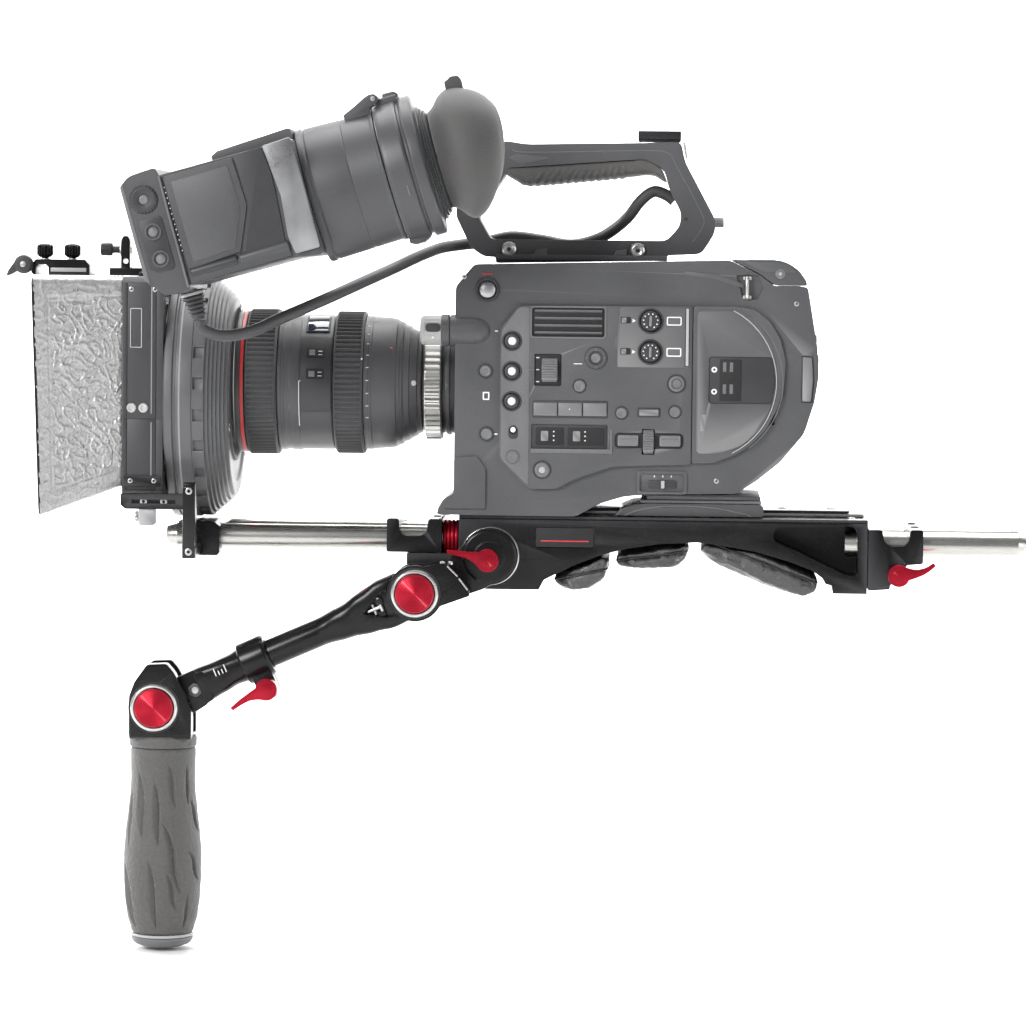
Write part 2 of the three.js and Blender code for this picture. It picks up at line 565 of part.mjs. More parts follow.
// The viewfinder lead: out of its boot, along the lens, behind the handle foot, up to the leg.
const CABLE_ROUTE = [[-201.5, -125, 159], [-200.1, -124.8, 154.4], [-189, -121, 150.6], [-172.8, -112, 153.3],
  [-156.5, -100, 161], [-133, -84, 171.8], [-111, -64, 182.6], [-94, -40, 191.2],
  [-81, -14, 198.2], [-70, 9, 203], [-58, 20, 205.2], [-44, 21.5, 207], [-28, 21, 210.4],
  [-10, 21, 208.6], [8, 21, 205.8], [23, 20, 209], [33.5, 12.5, 214.6], [43, 3, 222.6],
  [50.5, 0, 232.4], [58.5, 0, 238.2], [66.3, 0, 236]];
const CABLE_STEPS = 46;
const CABLE_SIDES = 8;

function cable() {
  const turn = 2 * Math.PI / CABLE_SIDES;
  const section = outline(Array.from({ length: CABLE_SIDES },
    (_, i) => [CABLE_RADIUS * Math.cos(i * turn), CABLE_RADIUS * Math.sin(i * turn)]));
  const path = new THREE.CatmullRomCurve3(CABLE_ROUTE.map((p) => new THREE.Vector3(...p)));
  return solid(new THREE.ExtrudeGeometry(section,
    { steps: CABLE_STEPS, extrudePath: path, bevelEnabled: false }));
}
place(camera, 'finder_cable', cable(), cableJacket);

// ---------------------------------------------------------------- matte box
const matteBox = group(rig);

function hood() {
  const outer = taperedBox([-305, -254.7], { halfWidth: 85, bottom: 42.4, top: 183.7 },
    { halfWidth: 65, bottom: 59.2, top: 183.7 });
  const inner = taperedBox([-305.5, -254.2], { halfWidth: 82.8, bottom: 44.5, top: 181.5 },
    { halfWidth: 62.6, bottom: 61.6, top: 181.5 });
  return cut(outer, inner);
}

function filterStage() {
  const plate = box([-254.2, -230], [-MATTE_HALF_WIDTH, MATTE_HALF_WIDTH], [53.7, 184]);
  const window = box([-255, -229], [-56, 56], [66, 172]);
  const riser = join(box([-263, -257.5], [-7, 7], [185, 208.7]), box([-270, -248], [-7, 7], [184, 189]));
  const knob = round('x', [-276, -262], [0, 200], 3.9, 12);
  return cut(join(plate, riser, knob, box([-252, -240], [-7, 7], [183, 188])), window);
}

function matteBracket() {
  const block = box([-217, -198], [-FRAME_HALF_WIDTH, FRAME_HALF_WIDTH], [18, 38.3]);
  const foot = box([-217, -209], [-77, -44], [18, 26]);
  const leg = box([-217, -209], [-77, -67], [18, 63]);
  const bar = box([-253.6, -209], [-77, -67], [47, 56]);
  return cut(join(block, foot, leg, bar), ...rodBores([-218, -197]));
}

function lightRing() {
  const ring = round('x', [-229.6, -192], [0, 112], 73, 32);
  return cut(ring, round('x', [-230, -191], [0, LENS_AXIS_HEIGHT], 44.8, 32));
}

function flagClamp() {
  const jaw = box([-316.4, -281], [-14, 14], [184.1, 193.7]);
  const mouth = box([-313.5, -306], [-15, 15], [183, 190.5]);
  const knobs = [-310, -293.3].map((x) => round('z', [193, 203], [x, 0], 5, 12));
  const disc = round('y', [-20, -13.5], [-320.5, 190.5], 5.8, 12);
  const tail = prismY([[-318, 193], [-324, 186.5], [-330.7, 183.4], [-325, 192]], [-20, -14]);
  return join(cut(jaw, mouth), ...knobs, disc, tail);
}

place(matteBox, 'matte_box_hood', hood(), hoodSkin);
place(matteBox, 'filter_stage', filterStage(), blackMetal);
place(matteBox, 'light_ring', lightRing(), lensPlastic);
place(matteBox, 'matte_box_bracket', matteBracket(), blackMetal);
place(matteBox, 'flag_clamp', flagClamp(), blackMetal);

export default assembly;
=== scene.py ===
"""Looks for the cinema camera rig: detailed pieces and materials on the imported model's bodies.

Outlines are millimetres measured from the shoulder arch, which lies SHIFT behind the model's origin.
"""
import math

import bmesh
import bpy
from mathutils import Matrix, Vector, noise
from mathutils.bvhtree import BVHTree
from mathutils.kdtree import KDTree

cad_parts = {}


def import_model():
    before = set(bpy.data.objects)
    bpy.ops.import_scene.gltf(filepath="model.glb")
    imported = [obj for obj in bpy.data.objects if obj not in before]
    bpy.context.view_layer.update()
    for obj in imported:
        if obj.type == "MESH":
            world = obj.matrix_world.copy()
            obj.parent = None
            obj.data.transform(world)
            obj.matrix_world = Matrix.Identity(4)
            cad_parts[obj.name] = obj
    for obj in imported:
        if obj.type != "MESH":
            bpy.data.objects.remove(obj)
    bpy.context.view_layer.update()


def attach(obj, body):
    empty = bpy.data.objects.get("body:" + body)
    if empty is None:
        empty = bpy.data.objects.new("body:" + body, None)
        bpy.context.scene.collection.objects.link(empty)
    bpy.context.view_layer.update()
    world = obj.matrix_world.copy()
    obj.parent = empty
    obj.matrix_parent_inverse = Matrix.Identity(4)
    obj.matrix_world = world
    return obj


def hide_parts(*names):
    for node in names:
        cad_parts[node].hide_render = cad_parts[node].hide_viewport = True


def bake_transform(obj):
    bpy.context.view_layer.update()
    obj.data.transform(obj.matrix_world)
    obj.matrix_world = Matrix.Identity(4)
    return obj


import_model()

MM = 0.001                  # metres in a millimetre
SHIFT = 23.0                # the shoulder arch starts this far behind the model's origin
ROD_SPREAD = 30.0           # distance of each support rod from the middle plane
ROD_HEIGHT = 29.0
LENS_HEIGHT = 121.2
PANEL_FACE = -53.0          # outer face of the operator's panel
ARM_PIVOT = (-78.3, -70.0, 0.0)
ARM_TILT = 23.7             # degrees that the folding arm runs down towards its grip
GRIP_PIVOT = (-231.5, -70.0, -69.5)
GRIP_AXIS = (-228.0, -70.0)     # the grip's upright axis, as (x, y)
FINDER = (-170.0, -114.0, 222.0)
FINDER_TILT = 16.4          # degrees that the viewfinder leans down at rest
CREASE_SEED = 7             # holds the noise behind the folds and creases the same in every run
noise.seed_set(CREASE_SEED)


# ------------------------------------------------------------------ materials
EDGE_WEAR_AND_HIGHLIGHT = (0.53, 0.62)    # pointiness where the pale edges start, and where they are full: edge wear and a painted edge highlight


class Graph:
    """A small helper to lay out one material's nodes."""

    def __init__(self, name):
        self.material = bpy.data.materials.new(name)
        self.material.use_nodes = True
        self.tree = self.material.node_tree
        self.shader = self.tree.nodes["Principled BSDF"]
        self.coords = self.node("ShaderNodeTexCoord").outputs["Object"]

    def node(self, kind, **settings):
        made = self.tree.nodes.new(kind)
        for key, value in settings.items():
            setattr(made, key, value)
        return made

    def link(self, source, target):
        self.tree.links.new(source, target)

    def mapped(self, scale):
        mapping = self.node("ShaderNodeMapping")
        mapping.inputs["Scale"].default_value = scale
        self.link(self.coords, mapping.inputs["Vector"])
        return mapping.outputs["Vector"]

    def noise(self, scale, detail=3.0, stretch=(1, 1, 1), rough=0.55, warp=0.0):
        """Noise whose features measure 1/scale metres; stretch scales each axis."""
        made = self.node("ShaderNodeTexNoise")
        made.inputs["Scale"].default_value = scale
        made.inputs["Detail"].default_value = detail
        made.inputs["Roughness"].default_value = rough
        made.inputs["Distortion"].default_value = warp
        self.link(self.mapped(stretch), made.inputs["Vector"])
        return made.outputs["Fac"]

    def cells(self, scale, feature="F1", stretch=(1, 1, 1)):
        made = self.node("ShaderNodeTexVoronoi", feature=feature)
        made.inputs["Scale"].default_value = scale
        self.link(self.mapped(stretch), made.inputs["Vector"])
        return made.outputs["Distance"]

    def ramp(self, fac, stops):
        made = self.node("ShaderNodeValToRGB")
        elements = made.color_ramp.elements
        elements[0].position, elements[0].color = stops[0][0], (*stops[0][1], 1)
        elements[1].position, elements[1].color = stops[-1][0], (*stops[-1][1], 1)
        for place, color in stops[1:-1]:
            elements.new(place).color = (*color, 1)
        self.link(fac, made.inputs["Fac"])
        return made.outputs["Color"]

    def span(self, fac, low, high, start=0.3, end=0.7):
        made = self.node("ShaderNodeMapRange")
        made.inputs["From Min"].default_value = start
        made.inputs["From Max"].default_value = end
        made.inputs["To Min"].default_value = low
        made.inputs["To Max"].default_value = high
        self.link(fac, made.inputs["Value"])
        return made.outputs["Result"]

    def math(self, operation, a, b):
        made = self.node("ShaderNodeMath", operation=operation)
        for socket, value in zip(made.inputs, (a, b)):
            if isinstance(value, (int, float)):
                socket.default_value = value
            else:
                self.link(value, socket)
        return made.outputs["Value"]

    def mix(self, fac, a, b):
        made = self.node("ShaderNodeMix", data_type="RGBA", blend_type="MIX")
        for socket, value in zip((made.inputs[0], made.inputs[6], made.inputs[7]), (fac, a, b)):
            if isinstance(value, (int, float)):
                socket.default_value = value
            elif isinstance(value, tuple):
                socket.default_value = (*value, 1)
            else:
                self.link(value, socket)
        return made.outputs[2]

    def bump(self, height, distance, strength=1.0, below=None):
        made = self.node("ShaderNodeBump")
        made.inputs["Strength"].default_value = strength
        made.inputs["Distance"].default_value = distance
        self.link(height, made.inputs["Height"])
        if below is not None:
            self.link(below, made.inputs["Normal"])
        return made.outputs["Normal"]

    def edge_wear_and_highlight(self):
        """Near 1 on outer edges and near 0 on flat ground: where edge wear and a painted edge highlight go.
        """
        return self.span(self.node("ShaderNodeNewGeometry").outputs["Pointiness"], 0, 1, *EDGE_WEAR_AND_HIGHLIGHT)

    def set(self, **values):
        for key, value in values.items():
            socket = self.shader.inputs[key.replace("_", " ")]
            if isinstance(value, (int, float)):
                socket.default_value = value
            elif isinstance(value, tuple):
                socket.default_value = (*value, 1)
            else:
                self.link(value, socket)
        return self


def shade(color, share):
    """The colour made darker or lighter."""
    return tuple(min(1.0, c * share) for c in color)


def anodised(name, color, metallic, rough, edge, shine=0.5):
    """Anodised or satin metal with cloudy colour and pale edges, as wear and as a painted edge highlight."""
    g = Graph(name)
    cloud = g.noise(35, 4)
    grain = g.noise(2600, 2)
    ground = g.ramp(cloud, [(0.3, shade(color, 0.8)), (0.7, shade(color, 1.25))])
    # pale edges: wear, and a painted highlight along the edges
    ground = g.mix(g.math("MULTIPLY", g.edge_wear_and_highlight(), 0.55), ground, edge)
    rough_map = g.math("ADD", g.span(cloud, rough - 0.05, rough + 0.06), g.span(grain, -0.03, 0.03))
    g.shader.inputs["Specular IOR Level"].default_value = shine
    g.set(Base_Color=ground, Metallic=metallic, Roughness=rough_map)
    return g.set(Normal=g.bump(grain, 0.00002, 0.5)).material


def brushed(name, color, stretch, rough):
    """Metal brushed across the axis whose stretch is large."""
    g = Graph(name)
    lines = g.noise(1400, 1, stretch)
    cloud = g.noise(20, 2)
    g.set(Base_Color=g.ramp(lines, [(0.2, shade(color, 0.97)), (0.8, shade(color, 1.03))]),
          Metallic=1.0, Roughness=g.math("ADD", g.span(lines, rough - 0.01, rough + 0.015),
                                         g.span(cloud, -0.01, 0.02)))
    return g.material


def moulded(name, color, rough=0.5, grain=0.00005, size=1500, sheen=0.0, edge=None):
    """Moulded plastic or rubber: fine spark-eroded grain and faint handling marks; given an edge colour,
    pale edges as wear and as a painted edge highlight.
    """
    g = Graph(name)
    cloud = g.noise(22, 4)
    fine = g.noise(size, 3)
    pits = g.cells(size * 0.8)
    ground = g.ramp(cloud, [(0.3, shade(color, 0.88)), (0.7, shade(color, 1.12))])
    ground = g.mix(g.span(fine, 0.0, 0.28), ground, shade(color, 1.6))
    if edge:
        # pale edges: wear, and a painted highlight along the edges
        ground = g.mix(g.math("MULTIPLY", g.edge_wear_and_highlight(), 0.6), ground, edge)
    g.set(Base_Color=ground, Roughness=g.span(cloud, rough - 0.06, rough + 0.08))
    g.shader.inputs["Sheen Weight"].default_value = sheen
    return g.set(Normal=g.bump(g.math("ADD", fine, pits), grain, 0.6)).material


def wrinkled(name, color, fold, rough, deep, slant, light, metal=0.0, shine=0.5):
    """Leather and skins: soft creases over pebbled grain, with painted shade in the creases and hollows and
    painted highlight on the fold crests.
    """
    g = Graph(name)
    folds = g.noise(fold, 4, slant, 0.6, 1.4)
    creases = g.cells(fold * 1.7, "DISTANCE_TO_EDGE", slant)
    pebble = g.cells(fold * 9)
    # painted shade in the fold hollows and painted highlight on the crests, where the colour rises to light
    # times itself
    ground = g.ramp(folds, [(0.3, shade(color, 0.7)), (0.52, color), (0.75, shade(color, light))])
    # painted shade: the colour darkened in the creases
    ground = g.mix(g.span(creases, 0.45, 0.0, 0.0, 0.12), ground, shade(color, 0.6))
    low = g.bump(g.math("ADD", folds, g.span(creases, 0, 0.5, 0.0, 0.16)), deep, 0.8)
    g.set(Base_Color=ground, Metallic=metal, Roughness=g.span(folds, rough - 0.1, rough + 0.12))
    g.shader.inputs["Specular IOR Level"].default_value = shine
    return g.set(Normal=g.bump(pebble, deep * 0.12, 0.5, low)).material


def glassy(name, color, rough):
    """Coated lens glass, seen as a dark reflecting surface."""
    g = Graph(name)
    cloud = g.noise(40, 2)
    g.set(Base_Color=g.ramp(cloud, [(0.3, color), (0.7, shade(color, 1.6))]),
          Roughness=g.span(cloud, rough, rough + 0.03))
    g.shader.inputs["Coat Weight"].default_value = 1.0
    g.shader.inputs["Coat Roughness"].default_value = 0.03
    return g.material


# The edge colour given to anodised and to moulded paints the pale edges: wear and a painted edge highlight.
LOOK = {
    "black": anodised("anodised_black", (0.0064, 0.0061, 0.0062), 0.0, 0.24, (0.07, 0.07, 0.075), 0.26),
    "black_deep": moulded("black_recess", (0.006, 0.006, 0.007), 0.6),
    "steel_x": brushed("brushed_rod", (0.47, 0.46, 0.435), (0.02, 1, 1), 0.27),
    "steel": brushed("brushed_steel", (0.6, 0.59, 0.57), (0.1, 1, 1), 0.28),
    "red": anodised("anodised_red", (0.33, 0.004, 0.018), 0.7, 0.3, (0.62, 0.12, 0.15)),
    "camera": moulded("camera_body", (0.062, 0.062, 0.065), 0.46, 0.00006, 1300, 0.0,
                      (0.2, 0.2, 0.2)),
    "panel": moulded("camera_panel", (0.07, 0.07, 0.073), 0.44, 0.00004, 1700, 0.0,
                     (0.24, 0.24, 0.24)),
    "strip": moulded("grained_strip", (0.115, 0.115, 0.118), 0.6, 0.0001, 900),
    "dark": moulded("dark_plastic", (0.028, 0.028, 0.03), 0.42, 0.00004, 1500),
    "key": moulded("key_plastic", (0.13, 0.13, 0.134), 0.42, 0.00003, 1500, 0.0, (0.3, 0.3, 0.3)),
    "silver": moulded("silver_paint", (0.36, 0.36, 0.355), 0.38, 0.00003, 1800),
    "satin": anodised("satin_band", (0.34, 0.34, 0.345), 0.9, 0.33, (0.6, 0.6, 0.6)),
    "lens": moulded("lens_satin", (0.05, 0.05, 0.053), 0.4, 0.00003, 1500, 0.0, (0.17, 0.17, 0.17)),
    "ring": moulded("ring_satin", (0.076, 0.076, 0.079), 0.42, 0.00003, 1500, 0.0, (0.22, 0.22, 0.22)),
    "lens_rubber": moulded("lens_rubber", (0.038, 0.038, 0.04), 0.7, 0.00006, 1100, 0.2),
    "rubber": moulded("grip_rubber", (0.07, 0.068, 0.065), 0.66, 0.0005, 520, 0.2,
                      (0.16, 0.155, 0.15)),
    "cup": moulded("eyecup_rubber", (0.05, 0.048, 0.047), 0.62, 0.00006, 900, 0.2),
    "finder": moulded("finder_body", (0.05, 0.05, 0.053), 0.44, 0.00005, 1400, 0.0,
                      (0.26, 0.26, 0.26)),
    "leather": wrinkled("pad_leather", (0.015, 0.0145, 0.014), 460, 0.34, 0.00019, (1.6, 0.6, 0.9), 1.6,
                        0.0, 1.0),
    "leather_piping": wrinkled("leather_piping", (0.012, 0.012, 0.012), 400, 0.34, 0.00008, (1, 1, 1), 1.6),
    "hood": wrinkled("hood_skin", (0.42, 0.419, 0.415), 420, 0.35, 0.00014, (1, 1, 0.75), 1.2, 0.5),
    "cable": moulded("cable_jacket", (0.045, 0.045, 0.047), 0.45, 0.00003, 1200),
    "mark": moulded("printed_mark", (0.72, 0.72, 0.71), 0.45, 0.00001, 1500),
    "red_mark": moulded("red_mark", (0.5, 0.025, 0.03), 0.4, 0.00001, 1500),
    "circuit": moulded("circuit_board", (0.02, 0.09, 0.05), 0.45, 0.0001, 500),
    "glass": glassy("lens_glass", (0.02, 0.022, 0.035), 0.04),
}


# ------------------------------------------------------------------ solids
TO_AXIS = {
    "x": Matrix(((0, 0, 1, 0), (1, 0, 0, 0), (0, 1, 0, 0), (0, 0, 0, 1))),
    "y": Matrix(((1, 0, 0, 0), (0, 0, 1, 0), (0, 1, 0, 0), (0, 0, 0, 1))),
    "z": Matrix.Identity(4),
}
SMALLEST_CORNER = 9.0       # degrees; an outline that turns less than this is left as it is
CORNER_SHARE = 0.45         # a rounded corner takes up at most this share of each side
RIB_FLANK = 2.2             # how steeply a ribbed surface rises from groove to rib


def clamp(value):
    """A value held between 0 and 1."""
    return max(0.0, min(1.0, value))


def sided(side, a, b):
    """The span from a to b on one side of the middle plane, low end first."""
    return sorted((side * a, side * b))


def smoothstep(t):
    """A share from 0 to 1, eased at both ends."""
    return t * t * (3 - 2 * t)


def turn_of(a, b, c):
    """The angle between a-b and b-c, in degrees."""
    first, second = (b - a), (c - b)
    if first.length < 1e-6 or second.length < 1e-6:
        return 0.0
    return math.degrees(first.angle(second))


def soften(points, radius, closed=True, steps=3):
    """Rounds an outline's corners, or those of an open profile."""
    line = [Vector(p) for p in points]
    made = []
    count = len(line)
    for i, here in enumerate(line):
        before, after = line[i - 1], line[(i + 1) % count]
        at_end = not closed and i in (0, count - 1)
        if at_end or turn_of(before, here, after) < SMALLEST_CORNER:
            made.append(here)
            continue
        back, ahead = before - here, after - here
        reach = min(radius, CORNER_SHARE * back.length, CORNER_SHARE * ahead.length)
        start, end = here + back.normalized() * reach, here + ahead.normalized() * reach
        for k in range(steps + 1):
            t = k / steps
            made.append(start * (1 - t) ** 2 + here * 2 * t * (1 - t) + end * t * t)
    return [tuple(p) for p in made]


def bevel_edges(bm, width, segments=2, least=25.0):
    """Rounds every edge whose faces meet at more than the least angle, in degrees."""
    bm.normal_update()
    edges = [e for e in bm.edges if e.is_manifold and math.degrees(e.calc_face_angle(0)) > least]
    if width > 0 and edges:
        bmesh.ops.bevel(bm, geom=edges, offset=width, offset_type="OFFSET", segments=segments,
                        profile=0.6, affect="EDGES", clamp_overlap=True)


def prism(outline, span, axis="y", bevel=0.4, corner=0.0, segments=2):
    """An outline drawn across an axis and extruded along it, with bevelled edges."""
    line = soften(outline, corner) if corner else outline
    bm = bmesh.new()
    low = [bm.verts.new((p[0], p[1], span[0])) for p in line]
    high = [bm.verts.new((p[0], p[1], span[1])) for p in line]
    bm.faces.new(low)
    bm.faces.new(list(reversed(high)))
    for i in range(len(line)):
        j = (i + 1) % len(line)
        bm.faces.new((low[j], low[i], high[i], high[j]))
    bm.transform(TO_AXIS[axis])
    bmesh.ops.recalc_face_normals(bm, faces=bm.faces)
    bevel_edges(bm, bevel, segments)
    return bm


def block(x, y, z, bevel=0.5, segments=2):
    """A box with bevelled edges."""
    return prism([(x[0], z[0]), (x[1], z[0]), (x[1], z[1]), (x[0], z[1])], y, "y", bevel, 0, segments)


def rounded_box(x, z, y, corner=1.5, bevel=0.0):
    """A box whose four edges along Y are rounded."""
    return prism([(x[0], z[0]), (x[1], z[0]), (x[1], z[1]), (x[0], z[1])], sorted(y), "y", bevel, corner)


def lathe(profile, axis="x", centre=(0, 0), sides=72, corner=0.3, closed=False, ribs=None):
    """A turned solid: profile of (station, radius). ribs is (count, depth, low, high) along it."""
    line = soften(profile, corner, closed) if corner else profile
    bm = bmesh.new()
    rings = []
    for station, radius in line:
        if radius < 1e-6:
            rings.append([bm.verts.new((centre[0], centre[1], station))])
            continue
        ring = []
        for k in range(sides):
            angle = 2 * math.pi * k / sides
            r = radius
            if ribs and ribs[2] <= station <= ribs[3]:
                wave = math.sin(angle * ribs[0])
                r -= ribs[1] * (0.5 - 0.5 * max(-1, min(1, wave * RIB_FLANK)))
            ring.append(bm.verts.new((centre[0] + r * math.cos(angle),
                                      centre[1] + r * math.sin(angle), station)))
        rings.append(ring)
    return skinned(bm, rings, closed, axis)


def skinned(bm, rings, closed=False, axis="z"):
    """Joins rings of vertices one after another; closed joins the last to the first, else caps both."""
    for a, b in zip(rings, rings[1:]):
        join_rings(bm, a, b)
    if closed:
        join_rings(bm, rings[-1], rings[0])
    else:
        for end in (rings[0], rings[-1]):
            if len(end) > 1:
                bm.faces.new(end)
    bm.transform(TO_AXIS[axis])
    bmesh.ops.recalc_face_normals(bm, faces=bm.faces)
    return bm


def join_rings(bm, a, b):
    """Faces between two rings; a ring of one vertex makes a cone."""
    sides = max(len(a), len(b))
    for k in range(sides):
        n = (k + 1) % sides
        corners = [a[k % len(a)], a[n % len(a)], b[n % len(b)], b[k % len(b)]]
        face = list(dict.fromkeys(corners))
        if len(face) > 2:
            bm.faces.new(face)


def ring(outer, inner, low, high, axis="x", centre=(0, 0), corner=0.3, sides=72):
    profile = [(low, inner), (low, outer), (high, outer), (high, inner)]
    return lathe(profile, axis, centre, sides, corner, True)


def disc(radius, low, high, axis="y", centre=(0, 0), corner=0.3, sides=40):
    return lathe([(low, 0), (low, radius), (high, radius), (high, 0)], axis, centre, sides, corner)


def smooth_path(points, steps=5):
    """A Catmull-Rom curve through the points."""
    line = [Vector(p) for p in points]
    made = []
    for i in range(len(line) - 1):
        a, b = line[max(i - 1, 0)], line[i]
        c, d = line[i + 1], line[min(i + 2, len(line) - 1)]
        for k in range(steps):
            t = k / steps
            made.append(0.5 * (2 * b + (c - a) * t + (2 * a - 5 * b + 4 * c - d) * t * t
                               + (3 * b - a - 3 * c + d) * t ** 3))
    return made + [line[-1]]


def swept(points, radius, sides=12, steps=5, closed=False):
    """A round bar along a smooth path; radius may be a function of the share of the way."""
    path = smooth_path(points, steps) if steps else [Vector(p) for p in points]
    bm = bmesh.new()
    rings = []
    across = Vector((0.13, 1, 0.07))
    for i, here in enumerate(path):
        ahead = (path[min(i + 1, len(path) - 1)] - path[max(i - 1, 0)]).normalized()
        across = (across - ahead * across.dot(ahead)).normalized()
        up = ahead.cross(across)
        r = radius(i / (len(path) - 1)) if callable(radius) else radius
        rings.append([bm.verts.new(here + (across * math.cos(a) + up * math.sin(a)) * r)
                      for a in (2 * math.pi * k / sides for k in range(sides))])
    return skinned(bm, rings, closed)


def moved(bm, x=0, y=0, z=0):
    """Shifts a mesh and returns it."""
    bm.transform(Matrix.Translation((x, y, z)))
    return bm


def to_object(bm, name):
    mesh = bpy.data.meshes.new(name)
    bm.to_mesh(mesh)
    bm.free()
    made = bpy.data.objects.new(name, mesh)
    bpy.context.scene.collection.objects.link(made)
    return made


def baked(piece):
    """Applies an object's modifiers to its mesh."""
    bpy.context.view_layer.update()
    graph = bpy.context.evaluated_depsgraph_get()
    mesh = bpy.data.meshes.new_from_object(piece.evaluated_get(graph))
    old = piece.data
    piece.modifiers.clear()
    piece.data = mesh
    bpy.data.meshes.remove(old)
    return piece


def carved(body, cutters, bevel=0.3, segments=2):
    """Cuts solids out of one solid, then bevels what is left. All are bmeshes."""
    piece = to_object(body, "carving")
    tools = bmesh.new()
    for cutter in cutters:
        mesh = bpy.data.meshes.new("tool")
        cutter.to_mesh(mesh)
        cutter.free()
        tools.from_mesh(mesh)
        bpy.data.meshes.remove(mesh)
    tool = to_object(tools, "tools")
    cut = piece.modifiers.new("cut", "BOOLEAN")
    cut.operation = "DIFFERENCE"
    cut.solver = "EXACT"
    cut.use_self = True
    cut.object = tool
    baked(piece)
    made = bmesh.new()
    made.from_mesh(piece.data)
    bpy.data.objects.remove(piece)
    bpy.data.objects.remove(tool)
    bmesh.ops.remove_doubles(made, verts=made.verts, dist=0.002)
    bmesh.ops.dissolve_limit(made, angle_limit=0.01, verts=made.verts, edges=made.edges)
    bevel_edges(made, bevel, segments, 30)
    return made


class Kit:
    """Gathers solids into one piece, drawn in a frame set at an origin and tilted about Y."""

    def __init__(self, name, origin=(0, 0, 0), tilt=0.0):
        self.name = name
        self.bm = bmesh.new()
        self.looks = []
        self.place = (Matrix.Scale(MM, 4)
                      @ Matrix.Translation((origin[0] + SHIFT, origin[1], origin[2]))
                      @ Matrix.Rotation(-math.radians(tilt), 4, "Y"))

    def add(self, look, *solids):
        if look not in self.looks:
            self.looks.append(look)
        index = self.looks.index(look)
        for bm in solids:
            bm.transform(self.place)
            for face in bm.faces:
                face.material_index = index
            mesh = bpy.data.meshes.new("part")
            bm.to_mesh(mesh)
            bm.free()
            self.bm.from_mesh(mesh)
            bpy.data.meshes.remove(mesh)
        return self

    def done(self, body, slot, replaces, smooth=32):
        """Makes the piece; body is None where the piece is left attached to no body."""
        piece = to_object(self.bm, self.name)
        finish_mesh(piece, smooth)
        for look in self.looks:
            piece.data.materials.append(LOOK[look])
        if body:
            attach(piece, body)
        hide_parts(*replaces)
        return piece


def finish_mesh(piece, smooth=32):
    """Smooth shading with edges kept sharp above an angle."""
    piece.data.polygons.foreach_set("use_smooth", [True] * len(piece.data.polygons))
    piece.data.set_sharp_from_angle(angle=math.radians(smooth))
    piece.data.update()


def loft(sections, sides=56):
    """Joins cross-sections (x, centre_y, centre_z, half_y, half_z, power) along X.

    A power of 2 gives an ellipse and a larger one a rounder-cornered rectangle.
    """
    bm = bmesh.new()
    rings = []
    for station, ca, cb, ha, hb, power in sections:
        ring_verts = []
        for k in range(sides):
            angle = 2 * math.pi * (k + 0.5) / sides
            c, s = math.cos(angle), math.sin(angle)
            size = (abs(c) ** power + abs(s) ** power) ** (-1 / power)
            ring_verts.append(bm.verts.new((ca + ha * size * c, cb + hb * size * s, station)))
        rings.append(ring_verts)
    return skinned(bm, rings, axis="x")


def eased(keys, steps=4):
    """Fills in smooth sections between the key sections of a loft."""
    made = []
    for i, (a, b) in enumerate(zip(keys, keys[1:])):
        for k in range(steps):
            t = k / steps
            w = smoothstep(t)
            made.append((a[0] + (b[0] - a[0]) * t, *(p + (q - p) * w for p, q in zip(a[1:], b[1:]))))
    return made + [keys[-1]]


def screw_head(axis, centre, low, high, radius=2.4, sunk=0.9):
    """A socket-head screw whose head shows between low and high; the socket is at low."""
    hexagon = [(centre[0] + radius * 0.5 * math.cos(k * math.pi / 3),
                centre[1] + radius * 0.5 * math.sin(k * math.pi / 3)) for k in range(6)]
    near, far = (low - 1, low + sunk) if low < high else (low - sunk, low + 1)
    span = sorted((low, high))
    return carved(disc(radius, span[0], span[1], axis, centre, 0.35, 28),
                  [prism(hexagon, sorted((near, far)), axis, 0)], 0.1, 1)


# ------------------------------------------------------------------ shoulder frame
ARCH = [(-7, 0), (-3.8, 6), (0, 7.9), (14, 15), (29.6, 21.1), (46, 25.4), (65, 28.3), (87, 29.4),
        (101, 27.9), (121.5, 24.5), (142.1, 18.6), (155.4, 13.7), (161.6, 9.2), (163.7, 5.6),
        (167.3, 4.9), (168.1, 0)]


def rod_bores(x, radius=7.9):
    """Cutters for the two rods' holes over the span x."""
    return [disc(radius, *x, "x", (side * ROD_SPREAD, ROD_HEIGHT), 0, 48) for side in (-1, 1)]


